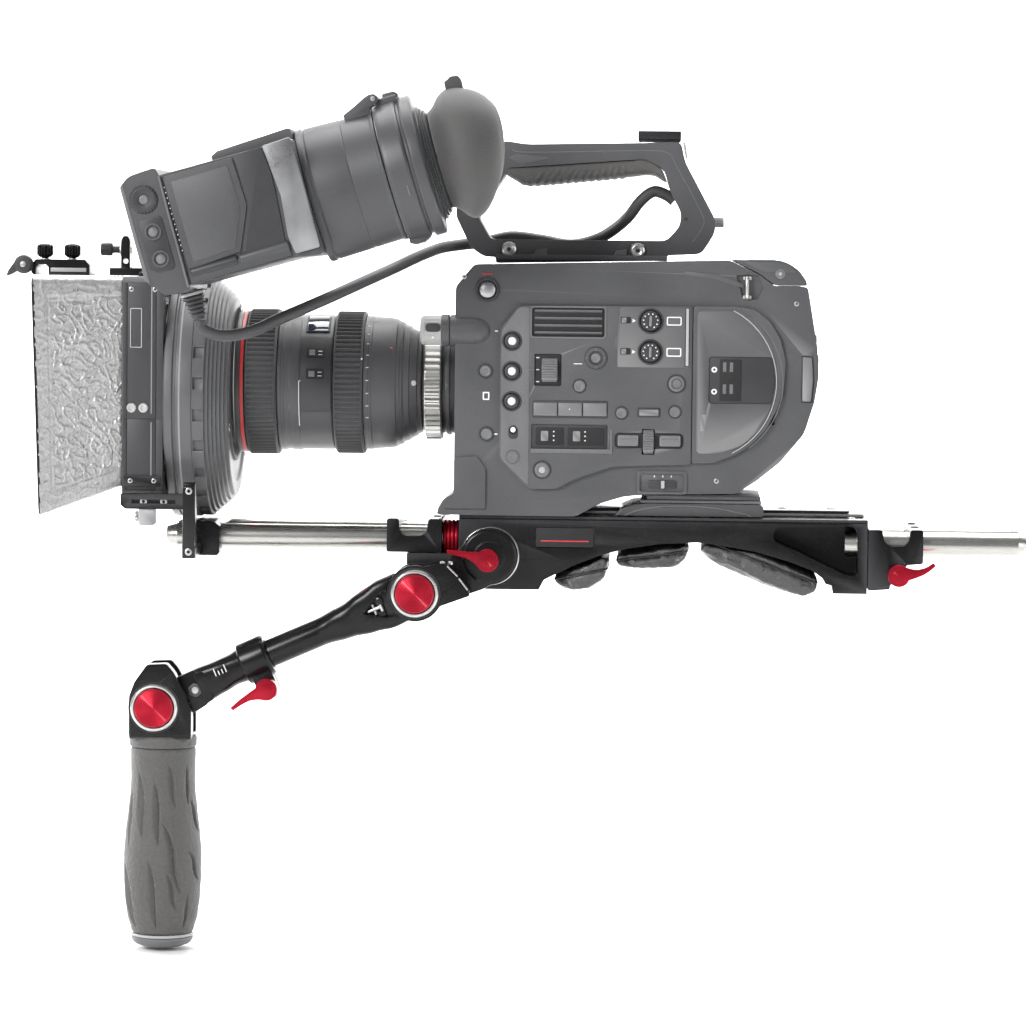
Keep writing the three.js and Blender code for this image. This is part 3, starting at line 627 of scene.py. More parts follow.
def shoulder_frame():
    """The walled base that rests on the shoulder, with its rod bores and side pockets."""
    side = [(-55, 44), (-55, 21), (-86, 21), (-86, 14.3), (-55, 12), (-39, 0), *ARCH,
            (188.3, 0), (188.3, 44)]
    pocket = [(133, 39), (181.8, 40.5), (183, 10.6), (176.5, 10.6), (146, 25), (132, 31)]
    groove = [(-54, 42.6), (187.4, 42.6), (187.4, 41.8), (-54, 41.8)]
    label = [(-9.5, 37.6), (26, 37.6), (26, 25.2), (-9.5, 25.2)]
    cutters = [*rod_bores((-57, -16)), *rod_bores((172, 190)), *rod_bores((-67, -55), 12.2)]
    for flip in (-1, 1):
        cutters.append(prism(pocket, sorted((flip * 46, flip * 13)), "y", 0, 5.5))
        cutters.append(prism(groove, sorted((flip * 44.4, flip * 46)), "y", 0))
        cutters.append(prism(label, sorted((flip * 44.2, flip * 46)), "y", 0, 1.2))
        for x in (96, 112, 128):
            cutters.append(disc(2.1, 40, 46, "z", (x, flip * 33), 0, 24))
    kit = Kit("frame_body")
    kit.add("black", carved(prism(side, (-45, 45), "y", 0), cutters, 0.55, 3))
    for flip in (-1, 1):
        y = sorted((flip * 44.35, flip * 44.75))
        kit.add("black_deep", rounded_box((-9, 25.5), (37.1, 25.7), y, 1, 0.1))
        kit.add("red_mark", rounded_box((-6, 22.5), (29.6, 28.9), (flip * 44.6, flip * 44.85), 0, 0.05))
        for x in (179, 110, 62):
            kit.add("steel", screw_head("z", (x, flip * 26), 44.5, 43.2, 2.4, 0.9))
    kit.done("shoulder", "frame_black", ["shoulder_frame"])


def rod_block(name, outline, x, screws):
    """A block across both rods, bored over the span x, with cap screws at (x, y, z)."""
    kit = Kit(name + "_body")
    kit.add("black", carved(prism(outline, (-45, 45), "y", 0, 1.4), rod_bores(x), 0.45, 3))
    for sx, sy, sz in screws:
        kit.add("black", screw_head("z", (sx, sy), sz + 1.7, sz - 1, 2.3, 1.0))
    kit.done("shoulder", "frame_black", [name])


def rods():
    """The two pairs of support rods, with their turned ends."""
    ends = {"front": (-231, -20), "rear": (175, 283.4)}
    for end, (low, high) in ends.items():
        if end == "front":
            profile = [(-222, 0), (-222, 3.2), (-230.4, 3.2), (-231, 3.9), (-231, 5.5), (-224.4, 7.5),
                       (high, 7.5), (high, 0)]
        else:
            profile = [(low, 0), (low, 7.5), (278.2, 7.5), (283.4, 5.5), (283.4, 3.9), (282.8, 3.2),
                       (274, 3.2), (274, 0)]
        for name, y in (("left", -ROD_SPREAD), ("right", ROD_SPREAD)):
            kit = Kit(f"{end}_rod_{name}_bar")
            kit.add("steel_x", lathe(profile, "x", (y, ROD_HEIGHT), 80, 0.35))
            kit.done(f"{end}_rods", "rod_steel", [f"{end}_rod_{name}"])


def lock_collar():
    """The red grooved collar around one rod."""
    profile = [(-64.9, 8)]
    for k in range(4):
        x = -64.6 + k * 2.35
        profile += [(x, 10.2), (x + 0.35, 11.4), (x + 1.7, 11.4), (x + 2.05, 10.2)]
    profile += [(-55.4, 10.4), (-55.4, 8)]
    kit = Kit("lock_collar_ring")
    kit.add("red", lathe(profile, "x", (-ROD_SPREAD, ROD_HEIGHT), 72, 0.35, True))
    kit.done("lock_collar", "anodised_red", ["lock_collar"])


def bezier(a, b, c, steps=8):
    """Points after a up to c on the quadratic curve a, b, c."""
    made = []
    for k in range(1, steps + 1):
        t = k / steps
        made.append(tuple(p * (1 - t) ** 2 + q * 2 * t * (1 - t) + r * t * t
                          for p, q, r in zip(a, b, c)))
    return made


def lever(name, body, origin, tilt, head, reach, y, curl=0.0):
    """A clamp lever: round head, waisted tail towards -X that thins to its tip."""
    open_angle = math.radians(142)
    arc = [(head * math.cos(open_angle * (1 - k / 14)), head * math.sin(open_angle * (1 - k / 14)))
           for k in range(29)]
    low_tip, high_tip = (-reach + 0.7, 0.3 + curl), (-reach, 2.7 + curl)
    low = bezier(arc[-1], (-head * 1.35, -1.2), (-head * 1.95, -0.5)) \
        + bezier((-head * 1.95, -0.5), (-reach * 0.8, 0.0), low_tip)
    high = bezier(low_tip, (-reach - 0.7, 1.6 + curl), high_tip, 4) \
        + bezier(high_tip, (-reach * 0.72, 3.2), (-head * 1.9, 3.4)) \
        + bezier((-head * 1.9, 3.4), (-head * 1.25, 3.9), arc[0])[:-1]
    bm = prism(arc + low + high, y, "y", 1.1, 0, 3)
    middle = (y[0] + y[1]) / 2
    for v in bm.verts:
        share = clamp((-v.co.x - head) / (reach - head))
        v.co.y = middle + (v.co.y - middle) * (1 - 0.42 * share)
    kit = Kit(name + "_body", origin, tilt)
    kit.add("red", bm)
    kit.add("red", disc(head * 0.62, y[0] - 0.12, y[0] + 0.5, "y", (0, 0), 0.15, 48))
    kit.add("black", disc(3.2, y[1] - 0.6, y[1] + 1.0, "y", (0, 0), 0.2, 32))
    kit.done(body, "anodised_red", [name])


def small_base_parts():
    """The round rosette mount and the slotted dovetail rail."""
    kit = Kit("rosette_teeth")
    ring_x = (-36, 20.3)
    kit.add("steel", lathe([(-49.6, 0), (-49.6, 16.9), (-48.9, 17.5), (-45.3, 17.5), (-45.3, 0)],
                           "y", ring_x, 96, 0.2))
    kit.done("shoulder", "rod_steel", ["rosette_disc"])
    rail = [(17, 44.3), (187, 44.3), (187, 46.3), (17, 46.3)]
    slots = []
    for low, high in ((35, 80), (95, 140), (150, 178)):
        slots.append(prism([(low, -3.2), (high, -3.2), (high, 3.2), (low, 3.2)], (43, 48), "z", 0, 3.1))
    for x in (26, 87.5, 145, 183):
        slots += [disc(1.8, 43, 48, "z", (x, y), 0, 24) for y in (-12, 12)]
    kit = Kit("dovetail_rail_plate")
    kit.add("steel", carved(prism(rail, (-20, 20), "y", 0), slots, 0.35, 2))
    kit.done("shoulder", "rod_steel", ["dovetail_rail"])


FRONT_BLOCK = [(-98, 41.5), (-98, 21.5), (-65.3, 21.5), (-65.3, 41.5), (-73.2, 41.5), (-74.2, 33.6),
               (-77.5, 31.2), (-87.5, 31.2), (-90.2, 33.6), (-90.8, 41.5)]
REAR_BLOCK = [(188.7, 38.3), (188.7, 2), (202, 3), (202, 6), (211, 6), (211.3, 17.5), (221.4, 18.3),
              (221.2, 38.5), (213.7, 38.5), (212.8, 31.5), (209.5, 28.6), (201.5, 28.6),
              (198.2, 31.5), (196.8, 38.3)]

shoulder_frame()
rod_block("front_rod_block", FRONT_BLOCK, (-99, -64), ((-69.3, -18, 40.5), (-69.3, 18, 40.5)))
rod_block("rear_rod_block", REAR_BLOCK, (188, 222), ((217.4, -18, 37.5), (217.4, 18, 37.5)))
rods()
lock_collar()
small_base_parts()
lever("rear_lock_lever", "rear_lever", (206.8, 0, 11.5), 195.5, 6.5, 22.3, (-53.5, -45.5), -2.6)
lever("arm_lock_lever", "arm_lever", (-37, 0, 18.5), -8, 6.8, 24.3, (-67, -59.9), 0.0)


# ------------------------------------------------------------------ folding side handle
CHEEKS = ((-88, -78.3), (-61.7, -52))        # near and far face of a joint's two cheeks, along Y


def push_button(name, body, pivot):
    """A turned red button with fine rings cut in its face."""
    face = -92.0
    profile = [(face, 0)]
    for k in range(11):
        r = 0.5 + k * 0.95
        profile += [(face, r), (face + 0.2, r + 0.34), (face, r + 0.66)]
    profile += [(face + 0.5, 11.3), (face + 1.1, 11.5), (-82.5, 11.5), (-82.5, 0)]
    kit = Kit(name + "_turned")
    kit.add("red", lathe(profile, "y", (pivot[0], pivot[2]), 96, 0))
    kit.done(body, "anodised_red", [name])


def bezel(kit, pivot):
    """The polished ring round a push button."""
    centre = (pivot[0], pivot[2])
    outer = [(-90, 12.1), (-90, 13.0), (-89.3, 13.9), (-87.6, 14.4), (-87.6, 11.95), (-89.4, 11.95)]
    kit.add("steel", lathe(outer, "y", centre, 96, 0.15, True))
    kit.add("black_deep", ring(15.3, 14.2, -88.6, -87.7, "y", centre, 0.2, 72))


def button_hole(pivot):
    """The cutter for a push button's hole through the near cheek."""
    return [disc(11.9, -95, -80, "y", (pivot[0], pivot[2]), 0, 48)]


def arm_bracket():
    """The forked bracket that carries the folding arm."""
    x, z = ARM_PIVOT[0], ARM_PIVOT[2]
    kit = Kit("arm_bracket_body")
    crown = [(-74, 15.5), (-66, 17.4), (-60.3, 17.4), (-55.6, 12.6), (-52, 9), (-47, 2), (-46, -1),
             (-64, -7.6), (-72, -15), (-80, 0)]
    for near, far in CHEEKS:
        kit.add("black", carved(prism(crown, (near, far), "y", 0, 0.8), button_hole(ARM_PIVOT), 0.9, 3))
        cheek = disc(16.5, near - 0.15, far + 0.15, "y", (x, z), 0, 72)
        kit.add("black", carved(cheek, button_hole(ARM_PIVOT), 0.8, 3))
    kit.add("black", prism([(-60.2, 16.4), (-53.4, 9.4), (-46.4, 1), (-60, -5)],
                           (-87.4, -52.6), "y", 0.7, 0.6))
    for start, end in (((-59.4, 16.4), (-53.2, 10.4)), ((-52.4, 9.2), (-47.2, 2.4))):
        kit.add("steel", swept([(start[0], -87.7, start[1]), (end[0], -87.7, end[1])], 0.55, 12, 0))
    kit.add("black", prism([(-62, 17), (-60, -6.4), (-38, 1.4), (-20, 14), (-36, 37), (-48, 31)],
                           (-58.6, -49.7), "y", 0.6, 3))
    kit.add("black", lathe([(-59.9, 0), (-59.9, 8.8), (-59.3, 9.2), (-59.3, 14.9), (-58.2, 16.8),
                            (-49.7, 16.8), (-49.7, 0)], "y", (-36, 20.3), 96, 0.5))
    for flat in (0, 1):
        kit.add("steel", screw_head("z", (-63 + flat * 4.5, -70), 18.1, 16, 1.6, 0.7))
    bezel(kit, ARM_PIVOT)
    kit.done("arm_bracket", "frame_black", ["arm_bracket"])


def upper_arm():
    """The folding arm's upper half: a flat boss and a tube."""
    kit = Kit("upper_arm_body", ARM_PIVOT, ARM_TILT)
    keys = [(-8.5, 0, 0.6, 11.6, 14.6, 7), (-19, 0, 0.4, 12, 14.9, 7), (-31, 0, 0.1, 12, 12.7, 5),
            (-46, 0, -0.2, 10.6, 10, 3), (-62, 0, 0, 8.3, 8.3, 2)]
    pocket = [(-16, 8.4), (-21, 7.6), (-33.5, 0.4), (-21, -6.8), (-16, -7.8)]
    cutters = [prism(pocket, (-14, -7), "y", 0, 1.6)]
    cutters += [disc(17.1, *side, "y", (0, 0), 0, 72) for side in ((-19, -7.9), (7.9, 19))]
    kit.add("black", carved(loft(eased(keys)), cutters, 0.25, 2))
    kit.add("black", disc(14, -7.7, 7.7, "y", (0, 0), 0.6, 64),
            block((-22, -6), (-7.7, 7.7), (-11, 11), 0.6))
    kit.add("black", lathe([(-116, 0), (-116, 7.5), (-115.2, 8.3), (-40, 8.3), (-40, 0)], "x",
                           (0, 0), 64, 0.3))
    kit.add("steel", swept([(-22, -8.4, -5), (-22, -8.4, 6)], 1.5, 16, 0),
            swept([(-26.5, -8.2, -3), (-26.5, -8.2, 3.4)], 1.1, 16, 0),
            swept([(-30.5, -8.6, 0.3), (-23, -8.6, 0.3)], 1.3, 16, 0))
    kit.add("black", block((-24, -20), (-10.2, -7.4), (1.6, 5.2), 0.3),
            block((-25, -21), (-10, -7.4), (-5.4, -2.4), 0.3))
    kit.add("red_mark", prism([(-20, 15.15), (-34, 12.35), (-34, 12.05), (-20, 14.85)],
                              (-6, 6), "y", 0.05))
    kit.done("upper_arm", "frame_black", ["upper_arm"])


def lower_arm():
    """The lower half: a clamping ring around that tube, and a neck towards the grip."""
    kit = Kit("lower_arm_body", ARM_PIVOT, ARM_TILT)
    ring_profile = [(-112, 8.7), (-112, 11.9), (-111.2, 12.5), (-97, 12.5), (-95, 11.6), (-95, 8.7)]
    slit = block((-113, -94), (-0.7, 0.7), (-26, -8), 0)
    kit.add("black", lathe(ring_profile, "x", (0, 0), 64, 0.4, True))
    kit.add("black", carved(prism([(-109, -8), (-109, -21), (-106, -24.5), (-100, -24.5), (-97, -21),
                                   (-97, -8)], (-9, 9), "y", 0, 1.5),
                            [slit, disc(8.75, -114, -94, "x", (0, 0), 0, 48)], 0.5, 3))
    keys = [(-111, 0, 0, 11.6, 10.2, 2.4), (-118, 0, -0.2, 11.8, 9.4, 3), (-127, 0, -0.9, 12, 9.9, 4),
            (-139, 0, -1.4, 11.6, 10.8, 5)]
    bore = disc(8.7, -137.4, -110, "x", (0, 0), 0, 48)
    kit.add("black", carved(loft(eased(keys)), [bore], 0.2, 2))
    neck = [(-137.6, 9.2), (-137.6, -12.6), (-148, -14.6), (-156, -13), (-168.2, -15.5), (-168.2, 10.5),
            (-156, 9.6), (-148, 8.8)]
    kit.add("black", prism(neck, (-7.7, 7.7), "y", 0.8, 3))
    kit.add("black", disc(13.5, -7.7, 7.7, "y", (-168.2, -2.1), 0.6, 64))
    wing = [(-134, 6.5), (-134, -11.5), (-141.2, -12.6), (-139.6, -3), (-140.6, 6.8)]
    kit.add("black", carved(prism(wing, (-11.6, 11.6), "y", 0, 1.6),
                            [disc(8.7, -137.4, -130, "x", (0, 0), 0, 48)], 0.6, 3))
    hexagon = [(-143.2 + 4.3 * math.cos(k * math.pi / 3 + 0.3), -2.4 + 4.3 * math.sin(k * math.pi / 3 + 0.3))
               for k in range(6)]
    kit.add("lens", prism(hexagon, (-8.1, -7.5), "y", 0.3))
    kit.add("steel", disc(2, -8.2, -7.9, "y", (-143.2, -2.4), 0.1, 32),
            swept([(-149, -7.1, -8.5), (-153, -7.1, -2)], 1.0, 16, 0))
    for k in range(4):
        kit.add("mark", block((-121.4 - k * 2.2, -120.9 - k * 2.2), (-12.1, -11.6),
                              (0.5, 3.2 if k % 3 else 5.2), 0.03, 1))
    kit.done("lower_arm", "frame_black", ["lower_arm"])


def grip_joint():
    """The forked joint between the arm and the hand grip."""
    kit = Kit("grip_joint_body")
    side = [(-246.5, -87), (-246.5, -63), (-243.4, -54.5), (-236, -44), (-224.4, -43.4), (-220, -48.5),
            (-214, -60), (-209.6, -71), (-209.6, -87)]
    for cheek in CHEEKS:
        kit.add("black", carved(prism(side, cheek, "y", 0, 1.5), button_hole(GRIP_PIVOT), 1.2, 3))
    for edge in ((-246.7, -245.3), (-211.2, -209.4)):
        kit.add("steel", block(edge, (-87.2, -79), (-85.6, -66 if edge[0] < -240 else -74), 0.6, 3))
    kit.add("black", prism([(-246.3, -88), (-209.8, -88), (-209.8, -85.5), (-246.3, -85.5)],
                           (-87.6, -52.4), "y", 0.5, 0.6))
    kit.add("rubber", lathe([(-94, 0), (-94, 18.8), (-93.2, 19.9), (-88.2, 20), (-87, 19.2), (-87, 0)],
                            "z", GRIP_AXIS, 80, 0.5))
    bezel(kit, GRIP_PIVOT)
    kit.done("grip", "frame_black", ["grip_joint"])


# Carved grooves of the grip: start angle and height, end angle and height, half width, depth.
# Angles are degrees round from the operator's side; the pattern repeats on the far side.
LEAVES = ((-42, -108, -27, -146, 2.3, 1.5), (-9, -113, 0, -151, 2.1, 1.3), (15, -102, 30, -130, 1.9, 1.0),
          (53, -104, 54, -128, 1.6, 1.0), (6, -137, 36, -181, 2.2, 1.5), (-74, -161, -47, -201, 3.6, 2.1),
          (-16, -160, -4, -201, 2.2, 1.4), (12, -167, 29, -190, 1.8, 1.2), (46, -154, 74, -174, 1.8, 1.2),
          (48, -180, 45, -201, 1.7, 1.0), (60, -124, 82, -146, 1.9, 1.2), (-66, -118, -56, -152, 2.0, 1.2),
          (-88, -103, -80, -136, 1.8, 1.1), (90, -150, 96, -196, 2.4, 1.5))
LEAF_WIDTH = 1.25
LEAF_DEPTH = 1.75
SLEEVE = ((-204.4, 17.6), (-203.2, 18.6), (-194, 21.0), (-183, 22.4), (-172, 23.0), (-158, 22.9),
          (-145, 22.1), (-132, 20.6), (-120, 19.4), (-112, 19.1), (-102, 19.3), (-95.6, 19.4),
          (-94.5, 18.8))


def sleeve_radius(z):
    """Radius of the grip's sleeve at a height."""
    for (z0, r0), (z1, r1) in zip(SLEEVE, SLEEVE[1:]):
        if z <= z1:
            t = max(0.0, (z - z0) / (z1 - z0))
            return r0 + (r1 - r0) * (0.5 * t + 0.5 * smoothstep(t))
    return SLEEVE[-1][1]


def leaf_depth(angle, z, radius):
    """How far the carved leaves cut in at a place on the sleeve."""
    depth = 0.0
    for turn in (0, 180):
        for a0, z0, a1, z1, half, cut in LEAVES:
            t = (z - z0) / (z1 - z0)
            if not 0 < t < 1:
                continue
            middle = a0 + (a1 - a0) * (t + 0.12 * math.sin(2 * math.pi * t)) + turn
            off = (angle - middle + 180) % 360 - 180
            across = math.radians(off) * radius
            width = LEAF_WIDTH * half * math.sin(math.pi * t) ** 0.8
            if abs(across) < width:
                s = across / width
                profile = min(1.0, (1 - s) * 3.2) * min(1.0, (1 + s) * 0.62)
                depth = max(depth, LEAF_DEPTH * cut * profile * math.sin(math.pi * t) ** 0.5)
    return depth


def grip():
    """The rubber sleeve with its carved leaves, and the cap below it."""
    low, high = -204.4, -94.5
    sides, rows = 264, 200
    centre_x, centre_y = GRIP_AXIS
    bm = bmesh.new()
    rings = []
    for i in range(rows + 1):
        z = low + (high - low) * i / rows
        base = sleeve_radius(z)
        made = []
        for k in range(sides):
            degrees = 360 * k / sides
            a = math.radians(degrees)
            r = base - leaf_depth(degrees, z, base)
            r += 0.25 * noise.noise(Vector((math.cos(a) * 1.6, math.sin(a) * 1.6, z * 0.05)))
            made.append(bm.verts.new((centre_x + r * math.sin(a), centre_y - r * math.cos(a), z)))
        rings.append(made)
    kit = Kit("grip_sleeve_rubber")
    kit.add("rubber", skinned(bm, rings))
    kit.done("grip", "rubber_grey", ["grip_sleeve"], 60)
    kit = Kit("grip_end_ring")
    kit.add("silver", lathe([(-206.6, 0), (-206.6, 18.5), (-205, 18.5), (-205, 0)], "z",
                            GRIP_AXIS, 80, 0.3))
    kit.add("key", lathe([(-214.5, 0), (-214.5, 1.6), (-213.6, 2.2), (-213.2, 11), (-211.2, 16.4),
                          (-208.6, 18.3), (-206.9, 18.4), (-206.9, 0)], "z", GRIP_AXIS, 80, 1.0))
    kit.done("grip", "key_grey", ["grip_end_cap"])


arm_bracket()
push_button("upper_push_button", "upper_button", ARM_PIVOT)
push_button("lower_push_button", "lower_button", GRIP_PIVOT)
upper_arm()
lower_arm()
grip_joint()
grip()
# The tube lever turns about a pivot below the sleeve's clamp ring.
LEVER_REACH = (-103.2, -18.1)
TUBE_LEVER = (ARM_PIVOT[0] + LEVER_REACH[0] * math.cos(math.radians(ARM_TILT))
              - LEVER_REACH[1] * math.sin(math.radians(ARM_TILT)), ARM_PIVOT[1],
              ARM_PIVOT[2] + LEVER_REACH[0] * math.sin(math.radians(ARM_TILT))
              + LEVER_REACH[1] * math.cos(math.radians(ARM_TILT)))
lever("tube_lock_lever", "tube_lever", TUBE_LEVER, ARM_TILT + 8, 6.5, 23.6, (-17.5, -9.4), -1.0)


# ------------------------------------------------------------------ camera body
BODY = [(-67, 44.4), (-67.7, 47.5), (-64.2, 54), (-58, 57), (-58, 180), (-47, 193.5), (66, 196.1),
        (104.5, 197.3), (121.8, 189), (131.2, 182.1), (150.6, 182.1), (156.6, 147), (157.8, 129.5),
        (155.4, 113.8), (149.5, 95), (135.5, 78), (122, 67), (109.7, 59), (57, 57.9), (43, 56.5),
        (27.6, 51.7), (15, 44.4)]
HOLLOW = [(-54.5, 61), (-54.5, 178), (-45, 190), (100, 193), (119, 185.4), (130, 178.5), (147.5, 178.5),
          (154.4, 129.5), (152, 115), (146.3, 97), (133, 80.5), (120, 70), (108.5, 62.3)]
PANEL = [(-31, 155), (-31, 78), (-13, 60.6), (2.7, 60.8), (15, 67.2), (36.6, 74.5), (82.6, 76.3),
         (82.6, 169.8), (-20.2, 169.1)]
DOOR = [(83.2, 169.8), (83.2, 77), (95.5, 77.4), (108.5, 82.2), (118.5, 88.6), (127.6, 98.5),
        (133.7, 110.5), (137.3, 124), (137.9, 138.4), (134.6, 151.5), (128.3, 161.5), (119.5, 168.2),
        (109.7, 169.8)]
RECORD = (-39.1, 178.4)                             # x and z of the record button
ASSIGN_X, ASSIGN_Z = -24.0, (148.2, 130.3, 112.5)   # the three round keys, one above another
DIAL_X, DIAL_Z = 57.9, (161.0, 142.6)
ND_KNOB = (-45.0, 154.0)                            # y and z of the knob in front
WHEELS = {"iris_wheel": ((-6.3, 3.1), 131.4), "select_wheel": ((54.2, 60.6), 89.4)}
WHEEL_DEPTH = -48.5                                 # y of both wheels' axles
FOOT_CHANNEL = (30, 130), (-24, 24), (43.4, 48.6)


def wheel_pocket(name):
    """The cut that a thumb wheel sits in."""
    (low, high), z = WHEELS[name]
    return disc(8.8, low - 0.6, high + 0.6, "x", (WHEEL_DEPTH, z), 0, 40)


def printed(kit, x, y, z):
    """A small printed mark, as a thin slip on the surface."""
    kit.add("mark", block(x, y, z, 0.02, 1))


def camera_shells():
    """The two side covers of the camera, both with cooling slots."""
    vents = [rounded_box((-8, 26), (z - 1, z + 1), (-51, -46), 0.8) for z in (155, 159, 163, 167)]
    cutters = [prism(HOLLOW, (-47, 1), "y", 0), block((-70, 32), (-24, 24), (43.4, 48.6), 0),
               disc(22, -60, -50, "x", (0, LENS_HEIGHT), 0, 72), *vents,
               disc(5.9, -51, -48.6, "y", RECORD, 0, 48), rounded_box((92, 132), (100, 152), (-51, -46), 1),
               wheel_pocket("iris_wheel"), wheel_pocket("select_wheel"),
               prism([(147.6, 141.5), (154.5, 141), (155.5, 127), (154.3, 113.5), (147.6, 113.5)],
                     (-51, -48.9), "y", 0, 0.8),
               rounded_box((52.4, 79.2), (59.6, 70.6), (-51, -49.3), 1.6),
               prism([(108, 188.6), (121.6, 188.6), (124.6, 181), (121, 174.2), (112.4, 174.2)],
                     (-51, -48.2), "y", 0, 1.2)]
    kit = Kit("left_shell_body")
    kit.add("camera", carved(prism(BODY, (-50, -0.15), "y", 0, 2.4), cutters, 0.9, 3))
    boss = [(-61.1, 0), (-61.1, 9.0), (-60.6, 9.3), (-46, 9.3), (-41.5, 8.4), (-38, 6.2), (-36.2, 3),
            (-35.6, 0)]
    kit.add("camera", lathe(boss, "x", ND_KNOB, 64, 0.8))
    kit.add("camera", prism([(-64.3, 48.2), (-64.5, 52.6), (-58, 56.5), (-58, 78.4), (-44.4, 79.6),
                             (-39, 72.6), (-39, 48.4)], (-51.6, -49.6), "y", 1.3, 1.6, 3))
    shell_details(kit)
    kit.done("camera", "camera_grey", ["left_shell"])
    kit = Kit("right_shell_body")
    cutters = [prism(HOLLOW, (-1, 47), "y", 0), block((-70, 32), (-24, 24), (43.4, 48.6), 0),
               disc(22, -60, -50, "x", (0, LENS_HEIGHT), 0, 72),
               rounded_box((-46, 62), (84, 176), (49.2, 51), 7),
               *[rounded_box((76, 122), (z - 1.1, z + 1.1), (47.9, 51), 0.9)
                 for z in (98, 103, 108, 113, 118, 123)]]
    kit.add("camera", carved(prism(BODY, (0.15, 50), "y", 0, 2.4), cutters, 0.9, 3))
    far_side_details(kit)
    kit.done("camera", "camera_grey", ["right_shell"])


def shell_details(kit):
    """Small keys, marks and fittings on the shell round the operator's panel."""
    kit.add("dark", ring(7.3, 5.6, -51.1, -49.6, "y", RECORD, 0.4, 72))
    for x, z in ((-39.8, 130.2), (-38.8, 92.8)):
        kit.add("dark", ring(4.5, 3.5, -50.7, -49.8, "y", (x, z), 0.25, 48))
        kit.add("key", lathe([(-51.0, 0), (-50.8, 2.0), (-51.2, 3.0), (-50.6, 3.45), (-49.8, 3.45),
                              (-49.8, 0)], "y", (x, z), 48, 0.2))
    kit.add("mark", carved(rounded_box((-41.3, -37.3), (113, 117.8), (-50.15, -49.9), 0.6),
                           [rounded_box((-40.5, -38.1), (113.8, 117), (-51, -49), 0.4)], 0))
    printed(kit, (-34.4, -32.2), (-50.12, -49.9), (92.4, 93.2))
    printed(kit, (-34.4, -32.6), (-50.12, -49.9), (153.6, 154.3))
    kit.add("red_mark", block((-42.4, -36.2), (-50.12, -49.9), (187.4, 188.1), 0.02, 1))
    kit.add("camera", carved(rounded_box((51, 80.6), (58.2, 72), (-50.9, -49.8), 2.2),
                             [rounded_box((52.6, 79), (59.8, 70.4), (-52, -49), 1.4)], 0.35, 2))
    kit.add("dark", rounded_box((57.5, 74.5), (61.6, 66.4), (-49.9, -49.2), 1.2, 0.3))
    kit.add("silver", rounded_box((65.2, 67.2), (61.8, 66.2), (-51.2, -49.6), 0.4, 0.3))
    for x in (61.2, 66.2, 71.2):
        printed(kit, (x - 0.25, x + 0.25), (-49.45, -49.25), (68.2, 69.4))
    strap = [(114.6, -49, 187.2), (114.6, -51.7, 186.6), (114.6, -52.4, 183), (114.6, -52.4, 179),
             (114.6, -51.7, 175.6), (114.6, -49, 175)]
    kit.add("steel", swept(strap, 1.15, 16, 6))
    kit.add("silver", rounded_box((112.2, 117.2), (174.6, 176.6), (-50.9, -48.4), 0.6, 0.3),
            rounded_box((112.2, 117.2), (185.8, 187.8), (-50.9, -48.4), 0.6, 0.3))
    kit.add("key", prism([(148.1, 140.6), (153.4, 140.2), (154.3, 127), (153.2, 114.3), (148.1, 114.3)],
                         (-50.4, -48.8), "y", 0.5, 0.8))
    for x, z in ((-53, 186), (-61.5, 50.5), (98, 66.5), (144, 172)):
        kit.add("steel", screw_head("y", (x, z), -50.3, -49.2, 1.5, 0.5))
    seam = [(-50, 76), (-39, 68.5), (-39, 52)]
    kit.add("dark", swept([(x, -50, z) for x, z in seam], 0.22, 8, 0))
    dent = [(78, 190.6), (98, 188.6), (112.5, 183.4), (112.5, 181), (97, 186), (78, 188.8)]
    kit.add("panel", prism(dent, (-50.35, -49.8), "y", 0.15, 0.8))


def far_side_details(kit):
    """Connector covers and sockets on the side away from the operator, of usual kinds."""
    kit.add("panel", rounded_box((-42, 6), (126, 172), (49.0, 50.7), 3, 0.5),
            rounded_box((10, 58), (126, 172), (49.0, 50.7), 3, 0.5),
            rounded_box((-42, 58), (88, 121), (49.0, 50.7), 3, 0.5))
    for x in (-2, 54):
        kit.add("key", rounded_box((x - 3.4, x + 0.6), (142, 156), (50.6, 51.6), 0.8, 0.3))
    for x in (72, 92):
        kit.add("steel", ring(4.6, 3.6, 49.6, 57.5, "y", (x, 156), 0.4, 48))
        kit.add("steel", disc(1.1, 49.6, 56, "y", (x, 156), 0.3, 24))
        kit.add("dark", disc(3.7, 49.6, 53, "y", (x, 156), 0.2, 40))
        kit.add("dark", ring(7.2, 4.7, 49.8, 50.8, "y", (x, 156), 0.3, 56))
    kit.add("camera", rounded_box((74, 124), (95, 126), (49.4, 50.6), 3, 0.4))
    for z in (98.6, 103.2, 107.8, 112.4, 117, 121.6):
        kit.add("dark", rounded_box((79, 119), (z - 0.9, z + 0.9), (50.3, 50.9), 0.8, 0.2))
    kit.add("silver", rounded_box((-36, -22), (60, 72), (49.8, 50.6), 2, 0.3))
    for x, z in ((-53, 186), (-53, 66), (98, 66.5), (144, 172), (64, 180), (64, 80)):
        kit.add("steel", screw_head("y", (x, z), 50.3, 49.2, 1.6, 0.5))


def ringed_button(kit, x, z, outer, cap, high=0.7, look="key"):
    """A dark ring set in the panel round a cap with a dished face."""
    kit.add("dark", ring(outer, cap + 0.35, PANEL_FACE - 0.35, PANEL_FACE + 0.4, "y", (x, z), 0.2, 56))
    face = PANEL_FACE - high
    kit.add(look, lathe([(face + 0.3, 0), (face + 0.2, cap * 0.5), (face, cap * 0.72),
                         (face + 0.15, cap * 0.94), (face + 0.5, cap), (PANEL_FACE + 0.4, cap),
                         (PANEL_FACE + 0.4, 0)], "y", (x, z), 56, 0.15))


